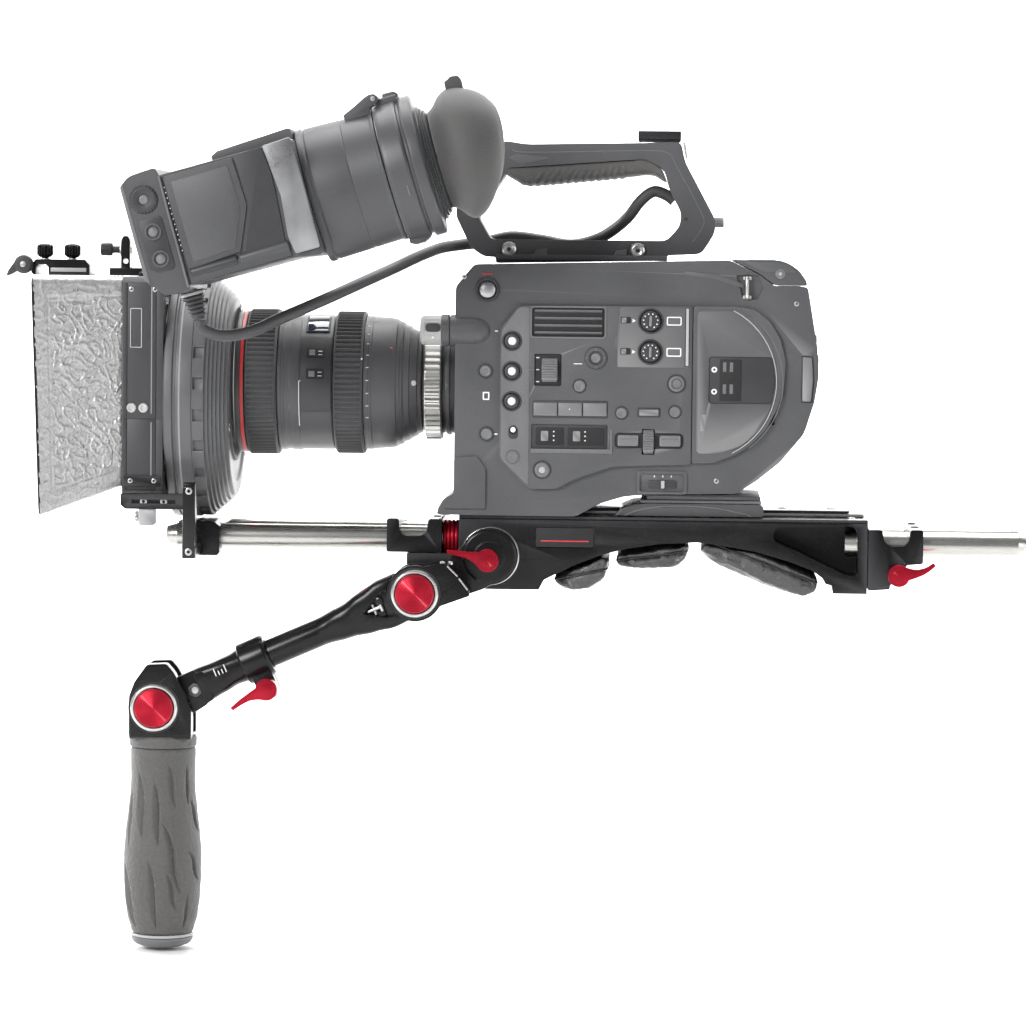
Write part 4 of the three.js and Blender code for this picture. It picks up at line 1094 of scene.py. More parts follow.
def side_panel():
    """The operator's panel, with its recesses and the sections on it."""
    face = PANEL_FACE
    recess = [rounded_box((-12.6, 31), (150.8, 168.4), (-54, -51.8), 1.6),
              rounded_box((-10.6, 5.4), (121.8, 140.8), (-54, -51.5), 0.8),
              rounded_box((-12.2, 33.4), (83, 99.2), (-54, -51.6), 1.2),
              rounded_box((37.2, 78.4), (85.2, 94.8), (-54, -51.9), 3.4)]
    holes = [disc(5.1, -54, -49, "y", (ASSIGN_X, z), 0, 48) for z in ASSIGN_Z]
    kit = Kit("side_panel_body")
    kit.add("panel", carved(prism(PANEL, (face, -50.3), "y", 0, 2.2),
                            [*recess, *holes, wheel_pocket("iris_wheel"), wheel_pocket("select_wheel")],
                            0.55, 3))
    strip = [(-30.2, 154.4), (-30.2, 78.6), (-13.6, 62.4), (-13.6, 168.4), (-20, 168.3)]
    kit.add("strip", carved(prism(strip, (face - 0.35, face + 0.4), "y", 0, 2),
                            [disc(5.1, -55, -49, "y", (ASSIGN_X, z), 0, 48) for z in ASSIGN_Z], 0.3, 2))
    vent_louvres(kit)
    panel_keys(kit)
    audio_section(kit)
    menu_section(kit)
    kit.done("camera", "camera_grey", ["side_panel"])


def vent_louvres(kit):
    """The slanted slats over the panel's vent."""
    kit.add("black_deep", rounded_box((-12, 30.4), (151.2, 168.0), (-52.0, -51.2), 1.4, 0.1))
    for z in (153.5, 157.8, 162.1, 166.4):
        slat = [(-52.9, z + 0.6), (-52.9, z - 0.2), (-51.4, z - 1.3), (-51.4, z - 0.5)]
        kit.add("panel", prism(slat, (-10.8, 29.2), "x", 0.15))
    kit.add("strip", carved(rounded_box((-13.4, 31.8), (150, 169.2), (-53.5, -52.6), 2.2),
                            [rounded_box((-12.4, 30.8), (151, 168.2), (-55, -50), 1.5)], 0.3, 2))


def panel_keys(kit):
    """Keys, switches and dials on the front half of the operator's panel."""
    face = PANEL_FACE
    kit.add("black_deep", rounded_box((-10.3, 5.1), (122.1, 140.5), (-51.9, -51.2), 0.6, 0.1))
    for z in (124.3, 131.4, 138.5):
        kit.add("mark", block((-9.6, -7.8), (-52.1, -51.7), (z - 0.25, z + 0.25), 0.03, 1))
    ringed_button(kit, 25.8, 138.7, 6.9, 2.9, 0.9)
    kit.add("camera", ring(6.2, 4.2, face - 0.75, face, "y", (25.8, 138.7), 0.3, 64))
    ringed_button(kit, 16.3, 122.0, 4.3, 3.4, 0.9)
    kit.add("mark", block((12.6, 17.6), (face - 0.1, face + 0.2), (134.9, 135.4), 0.03, 1))
    kit.add("dark", rounded_box((-11.6, 33.2), (102.8, 113.4), (face - 0.2, face + 0.3), 1, 0.15))
    for k in range(3):
        low = -10.8 + k * 14.7
        kit.add("key", prism([(face - 1.2, 104.9), (face - 1.2, 108.4), (face - 0.6, 111.8),
                              (face + 0.2, 112.2), (face + 0.2, 104.2), (face - 0.7, 104.2)],
                             (low, low + 13.8), "x", 0.3))
    printed(kit, (10.2, 10.8), (face - 1.3, face - 0.9), (107.9, 108.5))
    kit.add("dark", rounded_box((-11.6, 32.8), (83.6, 98.6), (-52.0, -51.3), 1, 0.1))
    kit.add("black_deep", rounded_box((-9.6, 7.2), (86.6, 97.2), (-52.35, -51.7), 0.8, 0.15),
            rounded_box((9.4, 31.2), (86.6, 97.2), (-52.35, -51.7), 0.8, 0.15))
    kit.add("key", rounded_box((-6.4, -2.0), (89.2, 95.2), (-53.1, -52), 0.6, 0.3),
            rounded_box((12.6, 17.0), (89.2, 95.2), (-53.1, -52), 0.6, 0.3))
    for x in (1.2, 19.8):
        for z in (89.6, 92.2, 94.8):
            kit.add("mark", disc(0.45, -52.5, -52.2, "y", (x, z), 0.05, 12))
    kit.add("strip", prism([(-12, 84.6), (34.8, 84.6), (34.8, 96), (36, 97), (36, 82), (-12.6, 82)],
                           (face - 0.6, face + 0.2), "y", 0.3))
    ringed_button(kit, -5.5, 72.0, 5.6, 4.4, 0.8)
    kit.add("silver", disc(1.9, face - 1.0, face - 0.2, "y", (-5.5, 72.0), 0.3, 32))
    kit.add("dark", lathe([(face - 0.7, 0), (face - 0.7, 2.5), (face - 0.2, 2.9), (face + 0.3, 2.9),
                           (face + 0.3, 0)], "y", (-22.9, 95.4), 40, 0.2),
            rounded_box((-25.8, -20), (90.2, 97.2), (face - 0.7, face + 0.3), 2.8, 0.2))
    kit.add("mark", disc(1.6, face - 1.2, face - 0.5, "y", (-22.9, 95.6), 0.3, 32))
    ringed_button(kit, -23.0, 79.5, 4.3, 3.3, 0.7, "strip")
    for z in ASSIGN_Z:
        kit.add("dark", ring(6.0, 4.9, face - 0.7, face + 0.3, "y", (ASSIGN_X, z), 0.3, 64))
    kit.add("panel", rounded_box((-17.6, -10.8), (130.9, 131.7), (face - 0.5, face + 0.1), 0.3, 0.1))


def audio_section(kit):
    """The panel's raised cover around the audio dials, with a switch beside each."""
    face = PANEL_FACE
    cover = [(38.2, 152), (36.8, 150.4), (36.8, 145.6), (38.2, 144), (38.2, 133.4), (81.6, 133.4),
             (81.6, 169.0), (80, 169.2), (40, 169.2)]
    kit.add("panel", prism(cover, (face - 0.55, face + 0.3), "y", 0.35, 1.4))
    kit.add("silver", rounded_box((78.9, 80.5), (134.6, 168.4), (face - 1.2, face), 0.3, 0.25))
    kit.add("dark", rounded_box((78.3, 81.1), (134, 168.8), (face - 0.7, face), 0.5, 0.1))
    for z in DIAL_Z:
        kit.add("dark", ring(7.6, 6.3, face - 1.4, face, "y", (DIAL_X, z), 0.4, 72))
        kit.add("black_deep", disc(6.5, face - 0.65, face, "y", (DIAL_X, z), 0.1, 56))
        kit.add("black_deep", rounded_box((40.2, 46.2), (z - 1.6, z + 2.2), (face - 0.7, face), 0.4, 0.1))
        kit.add("key", rounded_box((40.8, 43.6), (z - 1.2, z + 1.8), (face - 1.5, face - 0.4), 0.4, 0.25))
        kit.add("mark", prism([(47.2, z - 1.1), (49.2, z), (47.2, z + 1.1)], (face - 0.72, face - 0.4),
                              "y", 0.03))
        kit.add("mark", carved(rounded_box((67.4, 76.2), (z - 2.6, z + 2.6), (face - 0.72, face - 0.4), 0.9),
                               [rounded_box((68.1, 75.5), (z - 1.9, z + 1.9), (face - 2, face + 1), 0.5)],
                               0))
    kit.add("camera", rounded_box((67.6, 76), (156.9, 157.4), (face - 0.7, face), 0.2, 0.05))


def menu_section(kit):
    """The panel's menu buttons, round and long."""
    face = PANEL_FACE
    ringed_button(kit, 73.6, 123.9, 5.8, 4.6, 0.8)
    kit.add("camera", ring(3.4, 2.4, face - 0.95, face - 0.3, "y", (73.6, 123.9), 0.2, 48))
    ringed_button(kit, 41.3, 106.3, 4.1, 3.2, 0.8)
    ringed_button(kit, 72.9, 107.3, 4.1, 3.2, 0.9)
    kit.add("dark", rounded_box((50.6, 64.4), (103.9, 109.7), (face - 0.25, face + 0.2), 0.8, 0.1))
    kit.add("key", rounded_box((51.8, 63.2), (104.9, 108.5), (face - 0.8, face), 0.6, 0.3))
    kit.add("black_deep", rounded_box((37.6, 78), (85.6, 94.4), (-52.2, -51.6), 3.2, 0.1))
    for low, high in ((39.2, 51.4), (64.0, 76.4)):
        kit.add("key", rounded_box((low, high), (86.8, 93.2), (-53.6, -52), 1.2, 0.5))
        kit.add("strip", rounded_box((low + 1.2, high - 1.2), (90.6, 91.4), (-53.75, -53.3), 0.3, 0.05))


def knurled_wheel(name):
    """One thumb wheel with fine teeth around its rim."""
    (low, high), z = WHEELS[name]
    teeth = 30
    bm = lathe([(low, 0), (low, 6.9), (low + 0.5, 7.9), (high - 0.5, 7.9), (high, 6.9), (high, 0)], "x",
               (WHEEL_DEPTH, z), teeth * 6, 0.15, False, (teeth, 0.75, low + 0.3, high - 0.3))
    Kit(name + "_knurled").add("key", bm).done(name, "key_grey", [name])


def controls():
    """The panel's moving buttons, dials, wheels and knob."""
    kit = Kit("record_button_cap")
    x, z = RECORD
    kit.add("satin", lathe([(-51.9, 0), (-51.6, 2.4), (-51.0, 4.2), (-50.5, 4.9), (-49.85, 5.1),
                            (-49.85, 0)], "y", (x, z), 64, 0.4))
    kit.done("record_button", "key_grey", ["record_button"])
    for k, z in enumerate(ASSIGN_Z, 1):
        kit = Kit(f"assign_button_{k}_cap")
        kit.add("dark", lathe([(-54.3, 2.6), (-54.4, 3.2), (-54.2, 4.2), (-53.6, 4.6), (-51.6, 4.6),
                               (-51.6, 2.6)], "y", (ASSIGN_X, z), 56, 0.2, True))
        kit.add("mark", lathe([(-54.1, 0), (-54.0, 1.5), (-53.6, 2.6), (-51.7, 2.6), (-51.7, 0)], "y",
                              (ASSIGN_X, z), 48, 0.3))
        kit.done(f"assign_button_{k}", "key_grey", [f"assign_button_{k}"])
    for k, z in enumerate(DIAL_Z, 1):
        kit = Kit(f"audio_dial_{k}_knob")
        teeth = 36
        kit.add("dark", lathe([(-57.3, 0), (-57.3, 5.1), (-56.8, 5.7), (-54.0, 6.0), (-53.4, 6.0),
                               (-53.4, 0)], "y", (DIAL_X, z), teeth * 4, 0.2, False,
                              (teeth, 0.3, -56.7, -53.9)))
        for dot in range(10):
            a = math.radians(-150 + dot * 33.3)
            kit.add("mark", disc(0.42, -57.5, -57.2, "y", (DIAL_X + 4.2 * math.sin(a),
                                                           z + 4.2 * math.cos(a)), 0.05, 12))
        kit.add("key", rounded_box((DIAL_X - 0.7, DIAL_X + 0.7), (z - 3.0, z + 3.0), (-57.9, -57),
                                   0.5, 0.25))
        kit.done(f"audio_dial_{k}", "key_grey", [f"audio_dial_{k}"])
    for name in WHEELS:
        knurled_wheel(name)
    kit = Kit("nd_filter_knob_turned")
    y, z = ND_KNOB
    kit.add("silver", lathe([(-79, 0), (-79, 6.8), (-78.2, 8.2), (-76.6, 8.9), (-66, 9), (-64.6, 8.2),
                             (-61.5, 8.2), (-61.5, 0)], "x", (y, z), 120, 0.4, False,
                            (20, 0.5, -76.4, -66.5)))
    kit.add("dark", moved(rounded_box((-75.5, -66.5), (-2.6, 2.6), (-9.5, -8.6), 2.4, 0.3), y=y, z=z + 1.6))
    kit.add("mark", disc(0.7, y - 9.6, y - 8.8, "y", (-71, z - 4.2), 0.1, 20))
    kit.add("camera", lathe([(-66.4, 9.1), (-65.8, 9.6), (-62.2, 9.6), (-61.5, 9.2)], "x", (y, z), 64, 0.1,
                            True))
    kit.done("nd_knob", "panel_silver", ["nd_filter_knob"])


def card_door():
    """The hinged door with its window and thumb grip, and a pale rib painted as the highlight of its arc
    groove.
    """
    face = PANEL_FACE
    kit = Kit("card_door_body")
    window = [(92.6, 112.4), (92.6, 140.4), (130.4, 140.4), (132.6, 126.4), (130.4, 112.4)]
    kit.add("panel", carved(prism(DOOR, (face, -50.3), "y", 0, 2),
                            [prism(window, (-55, -52.3), "y", 0, 2)], 0.6, 3))
    inner = [(85.4, 167.6), (85.4, 82.6), (99, 82.6), (112, 87.6), (122, 96), (129, 108.5), (132.4, 123),
             (132.4, 138), (128.6, 150.5), (121.5, 160.6), (111, 167.6)]
    kit.add("panel", carved(prism(inner, (face - 0.45, face + 0.4), "y", 0, 4),
                            [prism(window, (-55, -49), "y", 0, 2)], 0.35, 2))
    kit.add("dark", prism([(93, 112.8), (93, 140), (130, 140), (132.2, 126.4), (130, 112.8)],
                          (-52.7, -51.8), "y", 0.15, 1.8))
    kit.add("black_deep", rounded_box((99, 112), (114, 138.8), (-52.95, -52.5), 0.8, 0.1))
    for z in (132.6, 119.6):
        kit.add("mark", disc(1.7, -53.0, -52.5, "y", (95.9, z), 0.1, 32))
        kit.add("dark", disc(0.75, -53.15, -52.8, "y", (95.9, z), 0.05, 20))
        kit.add("strip", rounded_box((101, 103), (z - 1.2, z + 4.4), (-53.1, -52.8), 0.2, 0.05),
                rounded_box((105, 107), (z - 1.2, z + 4.4), (-53.1, -52.8), 0.2, 0.05))
    # A pale silver rib along the arc: a painted highlight for the bright line of the door's groove.
    arc = [(85.5 + 47.3 * math.cos(a), face - 0.42, 125.4 + 47.3 * math.sin(a))
           for a in (math.radians(-63 + k * 6) for k in range(22))]
    kit.add("silver", swept(arc, 0.28, 8, 0))
    outer = [(85.5 + 51.2 * math.cos(a), face - 0.05, 125.4 + 49.6 * math.sin(a))
             for a in (math.radians(-52 + k * 6) for k in range(18))]
    kit.add("strip", swept(outer, 0.3, 8, 0))
    kit.add("key", rounded_box((88, 91.2), (96, 106), (face - 0.8, face), 0.6, 0.3))
    kit.done("card_door", "camera_grey", ["card_door"])


def rear_and_foot():
    """The camera's rear cover, its foot and the plate beneath."""
    kit = Kit("rear_cover_body")
    side = [(105.3, 197.7), (122, 189.5), (131.4, 182.6), (150.3, 182.6), (149.6, 185.6), (145.6, 191.4),
            (139.6, 195.6), (134, 197.6)]
    kit.add("camera", prism(side, (-50, 50), "y", 1.3, 2, 3))
    kit.add("key", disc(2.9, -50.7, -49.4, "y", (134.2, 189.6), 0.4, 40))
    kit.add("silver", disc(1.0, -51.1, -50.3, "y", (134.2, 189.6), 0.2, 20))
    kit.add("panel", prism([(112, 196.6), (124, 190.6), (144, 190.6), (138, 195.4), (132, 196.6)],
                           (-50.6, -49.6), "y", 0.3, 1.2))
    kit.add("dark", block((116, 132), (-26, 26), (197.3, 197.9), 0.15))
    kit.done("camera", "camera_grey", ["rear_cover"])
    kit = Kit("camera_foot_body")
    lower = [(37.6, 44.7), (41.4, 48.6), (47.5, 51.1), (57, 52.2), (124.4, 52.2), (126.3, 50.6),
             (126.3, 44.7)]
    kit.add("camera", carved(prism(lower, (-40, 40), "y", 0, 1.6), [block(*FOOT_CHANNEL, 0)], 0.8, 3))
    kit.add("strip", prism([(53, 52.6), (124.9, 52.6), (124.9, 54.3), (53, 54.3)], (-40.4, 40.4), "y", 0.5))
    kit.add("camera", prism([(56.9, 54.5), (124.5, 54.5), (124.5, 56.8), (108, 57.6), (56.9, 57)],
                            (-39, 39), "y", 0.5, 0.8))
    arch = [(44, 44.9), (52, 48), (66, 50.4), (82, 50.9), (100, 49.4), (114, 46.6), (119, 45)]
    for y in (-40.1, 40.1):
        kit.add("strip", swept([(x, y, z) for x, z in arch], 0.6, 10, 5))
    kit.done("camera", "camera_grey", ["camera_foot_pad"])
    kit = Kit("camera_plate_body")
    kit.add("black", block((-40, 178), (-22, 22), (46.6, 48.1), 0.35, 2))
    for x in (139, 168):
        kit.add("steel", screw_head("z", (x, 0), 48.7, 47.5, 3.2, 0.9))
    kit.done("camera", "frame_black", ["camera_plate"])


def camera_back():
    """Battery and sensor block inside the body, and the back cover's raised plate and sockets."""
    kit = Kit("battery_pack_body")
    kit.add("key", block((96, 136), (-22, 22), (92, 152), 2, 3))
    kit.add("dark", block((135.5, 137), (-12, 12), (98, 104), 0.4))
    plate = [(149.9, 176.5), (151.3, 176.5), (156.5, 147.5), (158.2, 129.6), (155.9, 114), (153.6, 106.5),
             (152, 106.5), (154.5, 129.5)]
    kit.add("panel", prism(plate, (-33, 33), "y", 0.35, 0.6))
    for y, z, x in ((-40, 150, 155.6), (-40, 138, 156.9), (40, 150, 155.6), (40, 138, 156.9)):
        kit.add("dark", disc(3.6, x - 2.5, x + 0.9, "x", (y, z), 0.4, 40))
        kit.add("steel", disc(0.9, x, x + 1.1, "x", (y, z), 0.2, 16))
    kit.done("camera", "key_grey", ["battery_pack"])
    kit = Kit("sensor_block")
    kit.add("circuit", block((-49, -38), (-32, 32), (94, 148), 0.6))
    kit.add("silver", block((-50, -49), (-13, 13), (113, 130), 0.3))
    kit.done("camera", "circuit_green", ["sensor_module"])


camera_shells()
side_panel()
controls()
card_door()
rear_and_foot()
camera_back()


# ------------------------------------------------------------------ top handle
HANDLE_OUTER = [(-42.9, 197.9), (-51, 203.4), (-60, 221.8), (-60.1, 227.4), (-32.3, 267.8),
                (-17.8, 265.6), (49.7, 267), (74.5, 268), (77.1, 256), (96, 221), (95.3, 213),
                (87.4, 200.8), (67, 199.9), (67, 196.6), (-36, 194.2), (-36, 197.9)]
HANDLE_LOOP = [(-36.5, 208.4), (-39.5, 209.4), (-47.1, 222.7), (-31, 246.5), (-29.2, 251.3),
               (53, 257.4), (64.6, 251.4), (67.5, 240), (75.1, 225.6), (74.4, 217.5), (66.5, 208.6)]


def top_handle():
    """The handle with its shoe, its rubber grip and the screws of its two feet."""
    kit = Kit("top_handle_body")
    kit.add("camera", carved(prism(HANDLE_OUTER, (-13, 13), "y", 0, 3.5),
                             [prism(HANDLE_LOOP, (-14, 14), "y", 0, 3.5)], 1.5, 4))
    rib = [(-27, 262.4), (-16, 260.8), (48, 262.4), (66, 261.4), (72.5, 252.6), (86.6, 226.6),
           (88.6, 218.4), (82.4, 208.2)]
    for y in (-13.05, 13.05):
        kit.add("strip", swept([(x, y, z) for x, z in rib], 0.35, 8, 5))
    for y in (-13.4, 13.4):
        kit.add("panel", prism([(-29, 257.6), (-24, 260), (-6, 258.4), (-4, 257.2), (-22, 253.6)],
                               sorted((y, y * 0.92)), "y", 0.4, 0.6))
    for x0, x1 in ((-33.2, -22.6), (43.8, 54.8)):
        for y in (-1, 1):
            centre = ((x0 + x1) / 2, 202.6)
            kit.add("silver", block((x0 + 1.6, x1 - 1.6), sorted((y * 11, y * 15.8)), (199.4, 206.4),
                                    1.0, 3))
            kit.add("steel", lathe([(y * 15.2, 0), (y * 16.4, 3.1), (y * 15.8, 4.4), (y * 13, 4.6),
                                    (y * 13, 0)], "y", centre, 48, 0.4))
            kit.add("dark", disc(1.3, *sorted((y * 16.0, y * 16.6)), "y", centre, 0.1, 6))
    for x in (-14.6, 33.4):
        for y in (-1, 1):
            wedge = [(x, 197.8), (x + 3, 202.6), (x + 9.4, 203.4), (x + 9.4, 197.8)]
            kit.add("panel", prism(wedge, sorted((y * 12.6, y * 15)), "y", 0.5))
    kit.add("camera", block((-36, 67), (-16, 16), (196.4, 199.6), 0.6))
    kit.add("silver", lathe([(92, 0), (92, 2.4), (95, 2.4), (95.4, 3.0), (100.4, 3.0), (101, 2.4), (101, 0)],
                            "x", (0, 220), 96, 0.2, False, (16, 0.35, 95.2, 100.6)))
    kit.add("dark", disc(1.0, -13.6, -12.8, "y", (78, 221.8), 0.1, 20))
    kit.add("silver", prism([(75.4, 268.1), (77.2, 267.4), (78.6, 258.6), (77.4, 258.2)],
                            (-11, 11), "y", 0.3))
    kit.done("camera", "camera_grey", ["top_handle"])
    handle_grip()
    cold_shoe()


RIB_PITCH = 4.6
RIB_DEPTH = 1.2
RIB_SPAN = (-18, 41.8)       # the grip's ridges lie between these stations


def handle_grip():
    """Rubber finger grip: a smooth strip with ridges along its lower middle."""
    rows = []
    top = [(-28.9, 251.1), (-20, 251.8), (-6, 252.8), (20, 254.7), (44, 256.5), (53, 257.1), (60.2, 253.6),
           (64.0, 250.2), (66.4, 243.8)]
    low = [(-31, 247.6), (-24, 243.4), (-16.6, 240.8), (12, 243.2), (43, 246.4), (52, 247.6), (58.5, 247.4),
           (62.8, 245), (65.2, 243.8)]
    steps = 300
    up, down = smooth_path([(x, 0, z) for x, z in top], 24), smooth_path([(x, 0, z) for x, z in low], 24)
    for k in range(steps + 1):
        t = k / steps
        a, b = along(up, t), along(down, t)
        rib = 0.0
        if RIB_SPAN[0] < b.x < RIB_SPAN[1]:
            phase = (b.x - RIB_SPAN[0]) / RIB_PITCH * 2 * math.pi
            rib = RIB_DEPTH * clamp(0.5 - 0.9 * math.cos(phase))
        middle, half = (a + b) / 2, (a - b).length / 2
        rows.append((middle.x, middle.z, half, rib, (a - b).normalized()))
    bm = bmesh.new()
    rings = []
    for x, z, half, rib, up_way in rows:
        made = []
        for j in range(56):
            angle = 2 * math.pi * j / 56
            c, s = math.cos(angle), math.sin(angle)
            power = 9.0 if s > 0 else 2.6
            size = (abs(c) ** power + abs(s) ** power) ** (-1 / power)
            grow = rib * clamp((0.6 - s) / 0.5)
            across = (13.3 + 0.9 * grow) * size * c
            height = (half + grow * 0.5 * (s < 0)) * size * s
            made.append(bm.verts.new((x + up_way.x * height, across, z + up_way.z * height)))
        rings.append(made)
    kit = Kit("handle_grip_rubber")
    kit.add("rubber", skinned(bm, rings))
    kit.done("camera", "rubber_grey", ["handle_grip"], 50)


def along(path, t):
    """The point a share t of the way along a path's points."""
    at = t * (len(path) - 1)
    i = min(int(at), len(path) - 2)
    return path[i].lerp(path[i + 1], at - i)


def cold_shoe():
    """The accessory shoe: one rail with turned-in lips."""
    kit = Kit("cold_shoe_rail")
    section = [(-10, 268.7), (10, 268.7), (10, 269.6), (12, 269.6), (12, 274.3), (6.4, 274.3), (6.4, 272.9),
               (9.6, 272.9), (9.6, 270.9), (-9.6, 270.9), (-9.6, 272.9), (-6.4, 272.9), (-6.4, 274.3),
               (-12, 274.3), (-12, 269.6), (-10, 269.6)]
    kit.add("black", prism(section, (48.7, 74.5), "x", 0.3))
    kit.add("dark", block((49, 74.2), (-9.5, 9.5), (268, 269.2), 0.2))
    for x in (55, 68):
        kit.add("steel", screw_head("z", (x, 0), 271.2, 270.2, 1.9, 0.5))
    kit.done("camera", "frame_black", ["cold_shoe"])


# ------------------------------------------------------------------ lens
def arc_plate(x, angles, radius, bevel=0.3, steps=20):
    """A plate wrapped round the lens axis; angles run up from the operator's side, in degrees."""
    bm = bmesh.new()
    grid = []
    for k in range(steps + 1):
        a = math.radians(angles[0] + (angles[1] - angles[0]) * k / steps)
        corners = [(x[0], radius[0]), (x[1], radius[0]), (x[1], radius[1]), (x[0], radius[1])]
        grid.append([bm.verts.new((px, -r * math.cos(a), LENS_HEIGHT + r * math.sin(a)))
                     for px, r in corners])
    skinned(bm, grid)
    bevel_edges(bm, bevel, 2, 40)
    return bm


LENS_CENTRE = (0, LENS_HEIGHT)
LENS_PROFILE = [(-176, 0), (-178.5, 20), (-176.5, 30.4), (-179, 31.6), (-183, 32.2), (-187, 33),
                (-190.4, 34.4), (-191, 36), (-191, 41.6), (-190.2, 42.5), (-187.4, 42.6), (-187.2, 42.2),
                (-184.8, 42.2), (-184.6, 38.3), (-165.4, 38.3), (-165.3, 40.9), (-164.4, 41.3),
                (-161.2, 41.3), (-160.9, 40.9), (-157.6, 40.9), (-157.3, 41.2), (-152, 41.2),
                (-151.7, 40.7), (-133, 40.7), (-131.7, 40.2), (-131.6, 38.2), (-113.6, 38.2),
                (-113.5, 40.5), (-109, 40.4), (-108.6, 40.0), (-104, 39.8), (-97, 39.2), (-94.4, 38.6),
                (-94, 37.9), (-90.5, 36.6), (-90, 35.6), (-86.6, 34.4), (-86.2, 33.6), (-82, 31.6),
                (-81.6, 30.6), (-79.5, 29.8), (-79, 26.4), (-58.4, 26.4), (-58.4, 0)]
RING_TEETH = 84


def lens_barrel():
    """The fixed barrel with its front glass, window, two keys, scales and dots."""
    centre = LENS_CENTRE
    kit = Kit("lens_barrel_body")
    kit.add("lens", lathe(LENS_PROFILE, "x", centre, 128, 0.25))
    kit.add("glass", lathe([(-180.6, 0), (-180.2, 12), (-179, 22), (-177.4, 29), (-176, 29), (-176, 0)],
                           "x", centre, 96, 0))
    kit.add("red_mark", ring(42.75, 41.9, -187.1, -185.2, "x", centre, 0.15, 128))
    for x, radius in ((-163, 41.36), (-110.8, 40.5), (-92.2, 37.4)):
        kit.add("dark", ring(radius, 30, x, x + 0.5, "x", centre, 0, 96))
    kit.add("dark", arc_plate((-150.6, -132.6), (-24, 44), (40.4, 41.7)))
    kit.add("black_deep", arc_plate((-148.6, -134.4), (48, 74), (40.4, 41.4)))
    kit.add("glass", arc_plate((-147.6, -135.4), (49, 73), (41.2, 41.6), 0.1))
    for angle in (26, 8):
        kit.add("black_deep", arc_plate((-147.4, -136.6), (angle - 4.5, angle + 4.5), (41.3, 41.9), 0.2, 8))
        kit.add("key", arc_plate((-145.8, -142.2), (angle - 2.2, angle + 2.2), (41.7, 43.0), 0.3, 5))
        for k in range(2):
            kit.add("mark", arc_plate((-140.4, -138.0), (angle - 1.8 + k * 3, angle - 1.3 + k * 3),
                                      (41.8, 42.0), 0.02, 2))
    kit.add("mark", arc_plate((-151.9, -151.5), (-38, 2), (41.15, 41.35), 0.02, 24),
            arc_plate((-151.6, -149.2), (2, 2.6), (41.15, 41.35), 0.02, 2))
    for k in range(9):
        kit.add("mark", arc_plate((-111.8, -110.2), (-30 + 11 * k, -29.5 + 11 * k), (40.3, 40.55), 0.02, 2))
    a = math.radians(33)
    kit.add("red_mark", moved(disc(1.15, -0.5, 0.9, "y", (0, 0), 0.4, 32), -97.2,
                              -38.6 * math.cos(a), LENS_HEIGHT + 38.6 * math.sin(a)))
    kit.add("silver", moved(disc(1.6, -1.2, 0.6, "y", (0, 0), 0.4, 32), -83.5, -31.9, LENS_HEIGHT + 0.8))
    kit.done("camera", "lens_black", ["lens_barrel"])


def toothed_ring(profile, teeth, depth, low, high, corner):
    """A ring round the lens with teeth cut between the stations low and high."""
    return lathe(profile, "x", LENS_CENTRE, teeth * 6, corner, True, (teeth, depth, low, high))


def lens_rings():
    """The two rubber control rings and the knurled lock ring of the mount."""
    centre = LENS_CENTRE
    kit = Kit("focus_ring_rubber")
    profile = [(-184.2, 39), (-184.2, 42.9), (-183.5, 43.7), (-182.9, 43.9), (-167.1, 43.9),
               (-166.4, 43.7), (-165.7, 42.8), (-165.7, 39)]
    kit.add("lens_rubber", toothed_ring(profile, RING_TEETH, 1.1, -183, -167, 0.15))
    kit.done("focus", "lens_black", ["focus_ring"])
    kit = Kit("zoom_ring_rubber")
    profile = [(-131.3, 39), (-131.3, 42.1), (-130.7, 42.8), (-130, 43.0), (-115.2, 43.0),
               (-114.5, 42.8), (-113.9, 42.1), (-113.9, 39)]
    kit.add("lens_rubber", toothed_ring(profile, RING_TEETH, 1.0, -130.1, -115.1, 0.15))
    kit.add("mark", arc_plate((-114.6, -113.8), (20, 21.4), (42.4, 42.9), 0.02, 2))
    kit.done("zoom", "lens_black", ["zoom_ring"])
    kit = Kit("mount_lock_ring_knurled")
    profile = [(-78, 27), (-78, 32.6), (-77.2, 33.8), (-76.6, 34), (-68.2, 34), (-67.4, 33.6),
               (-66.8, 32.4), (-66.8, 27)]
    kit.add("steel", toothed_ring(profile, 48, 1.5, -76.7, -68.1, 0.25))
    kit.add("dark", ring(30.0, 27, -66.8, -58.3, "x", centre, 0.5, 96))
    kit.add("lens", ring(31.2, 30, -64.6, -62.2, "x", centre, 0.4, 96))
    kit.done("mount_ring", "panel_silver", ["mount_lock_ring"])


top_handle()
lens_barrel()
lens_rings()


